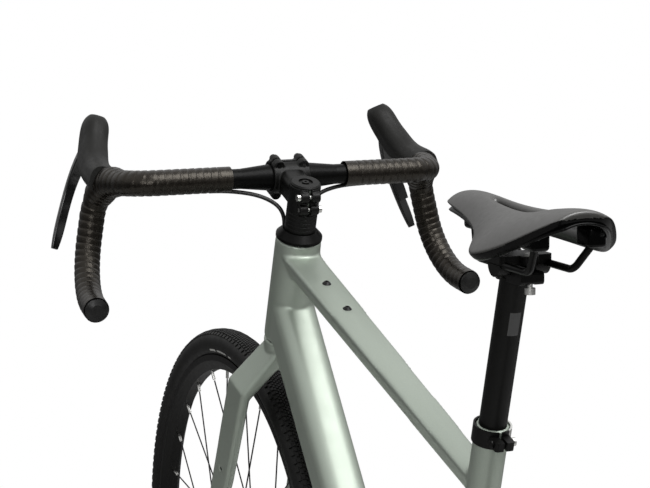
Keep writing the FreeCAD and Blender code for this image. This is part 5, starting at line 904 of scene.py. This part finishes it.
def block(name, centre, size, edge):
    """A box with rounded edges."""
    deselect()
    bpy.ops.mesh.primitive_cube_add(size=1, location=centre, scale=size)
    piece = bpy.context.object
    piece.name = name
    bpy.ops.object.transform_apply(location=True, rotation=True, scale=True)
    apply_modifier(piece, "BEVEL", width=edge, segments=4)
    return piece


def saddle_base():
    """The thin arched base under the foam, with the blocks that hold the ends of the rails."""
    arch = saddle_sheet("saddle_base", BASE_WIDTH_SHARE, BASE_DROP)
    apply_modifier(arch, "SOLIDIFY", thickness=BASE_THICKNESS, offset=-1.0)
    apply_modifier(arch, "SUBSURF", levels=2, render_levels=2)
    blocks = [block("nose_block", NOSE_BLOCK, NOSE_BLOCK_SIZE, BLOCK_EDGE)]
    for way in (1, -1):
        blocks.append(block("tail_block", TAIL_BLOCK * Vector((1, way, 1)), TAIL_BLOCK_SIZE, BLOCK_EDGE))
    piece = joined("saddle_base", [arch] + blocks)
    settle(piece, "saddle", "saddle_base", finishes["saddle_base"], "saddle_shell", angle=40)


painted_frame()
painted_fork()
forged_stem()
bar_tapes()
brake_hoses()
treaded_tyres()
saddle_cushion()
saddle_base()


# The stage
def white_world():
    """White for the camera, a white sky over a dim horizon for gloss and soft light elsewhere."""
    world = bpy.data.worlds.new("studio")
    bpy.context.scene.world = world
    world.use_nodes = True
    tree = world.node_tree
    output = tree.nodes["World Output"].inputs["Surface"]
    path = tree.nodes.new("ShaderNodeLightPath")
    direction = tree.nodes.new("ShaderNodeTexCoord")
    split = tree.nodes.new("ShaderNodeSeparateXYZ")
    sky = tree.nodes.new("ShaderNodeMapRange")
    for socket, value in (("From Min", SKY_FROM), ("From Max", SKY_TO), ("To Min", GLOSS_LOW), ("To Max", 1.0)):
        sky.inputs[socket].default_value = value
    tree.links.new(direction.outputs["Generated"], split.inputs["Vector"])
    tree.links.new(split.outputs["Z"], sky.inputs["Value"])
    shader = tree.nodes["Background"]
    shader.inputs["Strength"].default_value = FILL_LIGHT
    for ray, strength in (("Is Glossy Ray", sky.outputs["Result"]), ("Is Transmission Ray", 1.0),
                          ("Is Camera Ray", 1.0)):
        white = tree.nodes.new("ShaderNodeBackground")
        white.inputs["Color"].default_value = (1, 1, 1, 1)
        if isinstance(strength, float):
            white.inputs["Strength"].default_value = strength
        else:
            tree.links.new(strength, white.inputs["Strength"])
        mix = tree.nodes.new("ShaderNodeMixShader")
        tree.links.new(path.outputs[ray], mix.inputs["Fac"])
        tree.links.new(shader.outputs[0], mix.inputs[1])
        tree.links.new(white.outputs["Background"], mix.inputs[2])
        shader = mix
    tree.nodes["Background"].inputs["Color"].default_value = (1, 1, 1, 1)
    tree.links.new(shader.outputs["Shader"], output)


def pale_floor():
    deselect()
    bpy.ops.mesh.primitive_circle_add(vertices=FLOOR_CORNERS, radius=FLOOR_RADIUS, fill_type="NGON")
    floor = bpy.context.object
    floor.name = "pale_floor"
    finish = plain_finish("pale_floor", (0.80, 0.80, 0.79), (0.84, 0.84, 0.83),
                          roughness=0.8, scale=60, height=0.0001, specular=0.2)
    path = finish.node("ShaderNodeLightPath")
    finish.set(finish.shader, "Emission Color", (1.0, 1.0, 1.0, 1.0))
    finish.link(finish.math("MULTIPLY", path.outputs["Is Camera Ray"], FLOOR_GLOW),
                finish.shader.inputs["Emission Strength"])
    floor.data.materials.append(finish.material)


def lamp(name, place, target, size, power):
    deselect()
    bpy.ops.object.light_add(type="AREA", location=place)
    light = bpy.context.object
    light.name = name
    light.data.shape = "RECTANGLE"
    light.data.size, light.data.size_y = size
    light.data.energy = power
    light.rotation_euler = (Vector(target) - Vector(place)).to_track_quat("-Z", "Y").to_euler()


def photograph_camera():
    forward = Vector((math.cos(CAMERA_YAW) * math.cos(CAMERA_PITCH),
                      math.sin(CAMERA_YAW) * math.cos(CAMERA_PITCH), math.sin(CAMERA_PITCH)))
    right = forward.cross(Vector((0, 0, 1))).normalized()
    up = right.cross(forward)
    rolled = right * math.cos(CAMERA_ROLL) + up * math.sin(CAMERA_ROLL)
    upright = up * math.cos(CAMERA_ROLL) - right * math.sin(CAMERA_ROLL)
    deselect()
    bpy.ops.object.camera_add()
    camera = bpy.context.object
    turn = Matrix((rolled, upright, -forward)).transposed().to_4x4()
    camera.matrix_world = Matrix.Translation(CAMERA_PLACE) @ turn
    camera.data.sensor_width = CAMERA_SENSOR
    camera.data.lens = CAMERA_LENS
    bpy.context.scene.camera = camera


white_world()
pale_floor()
for softbox in SOFTBOXES:
    lamp(*softbox)
photograph_camera()
bpy.context.scene.view_settings.view_transform = "Standard"
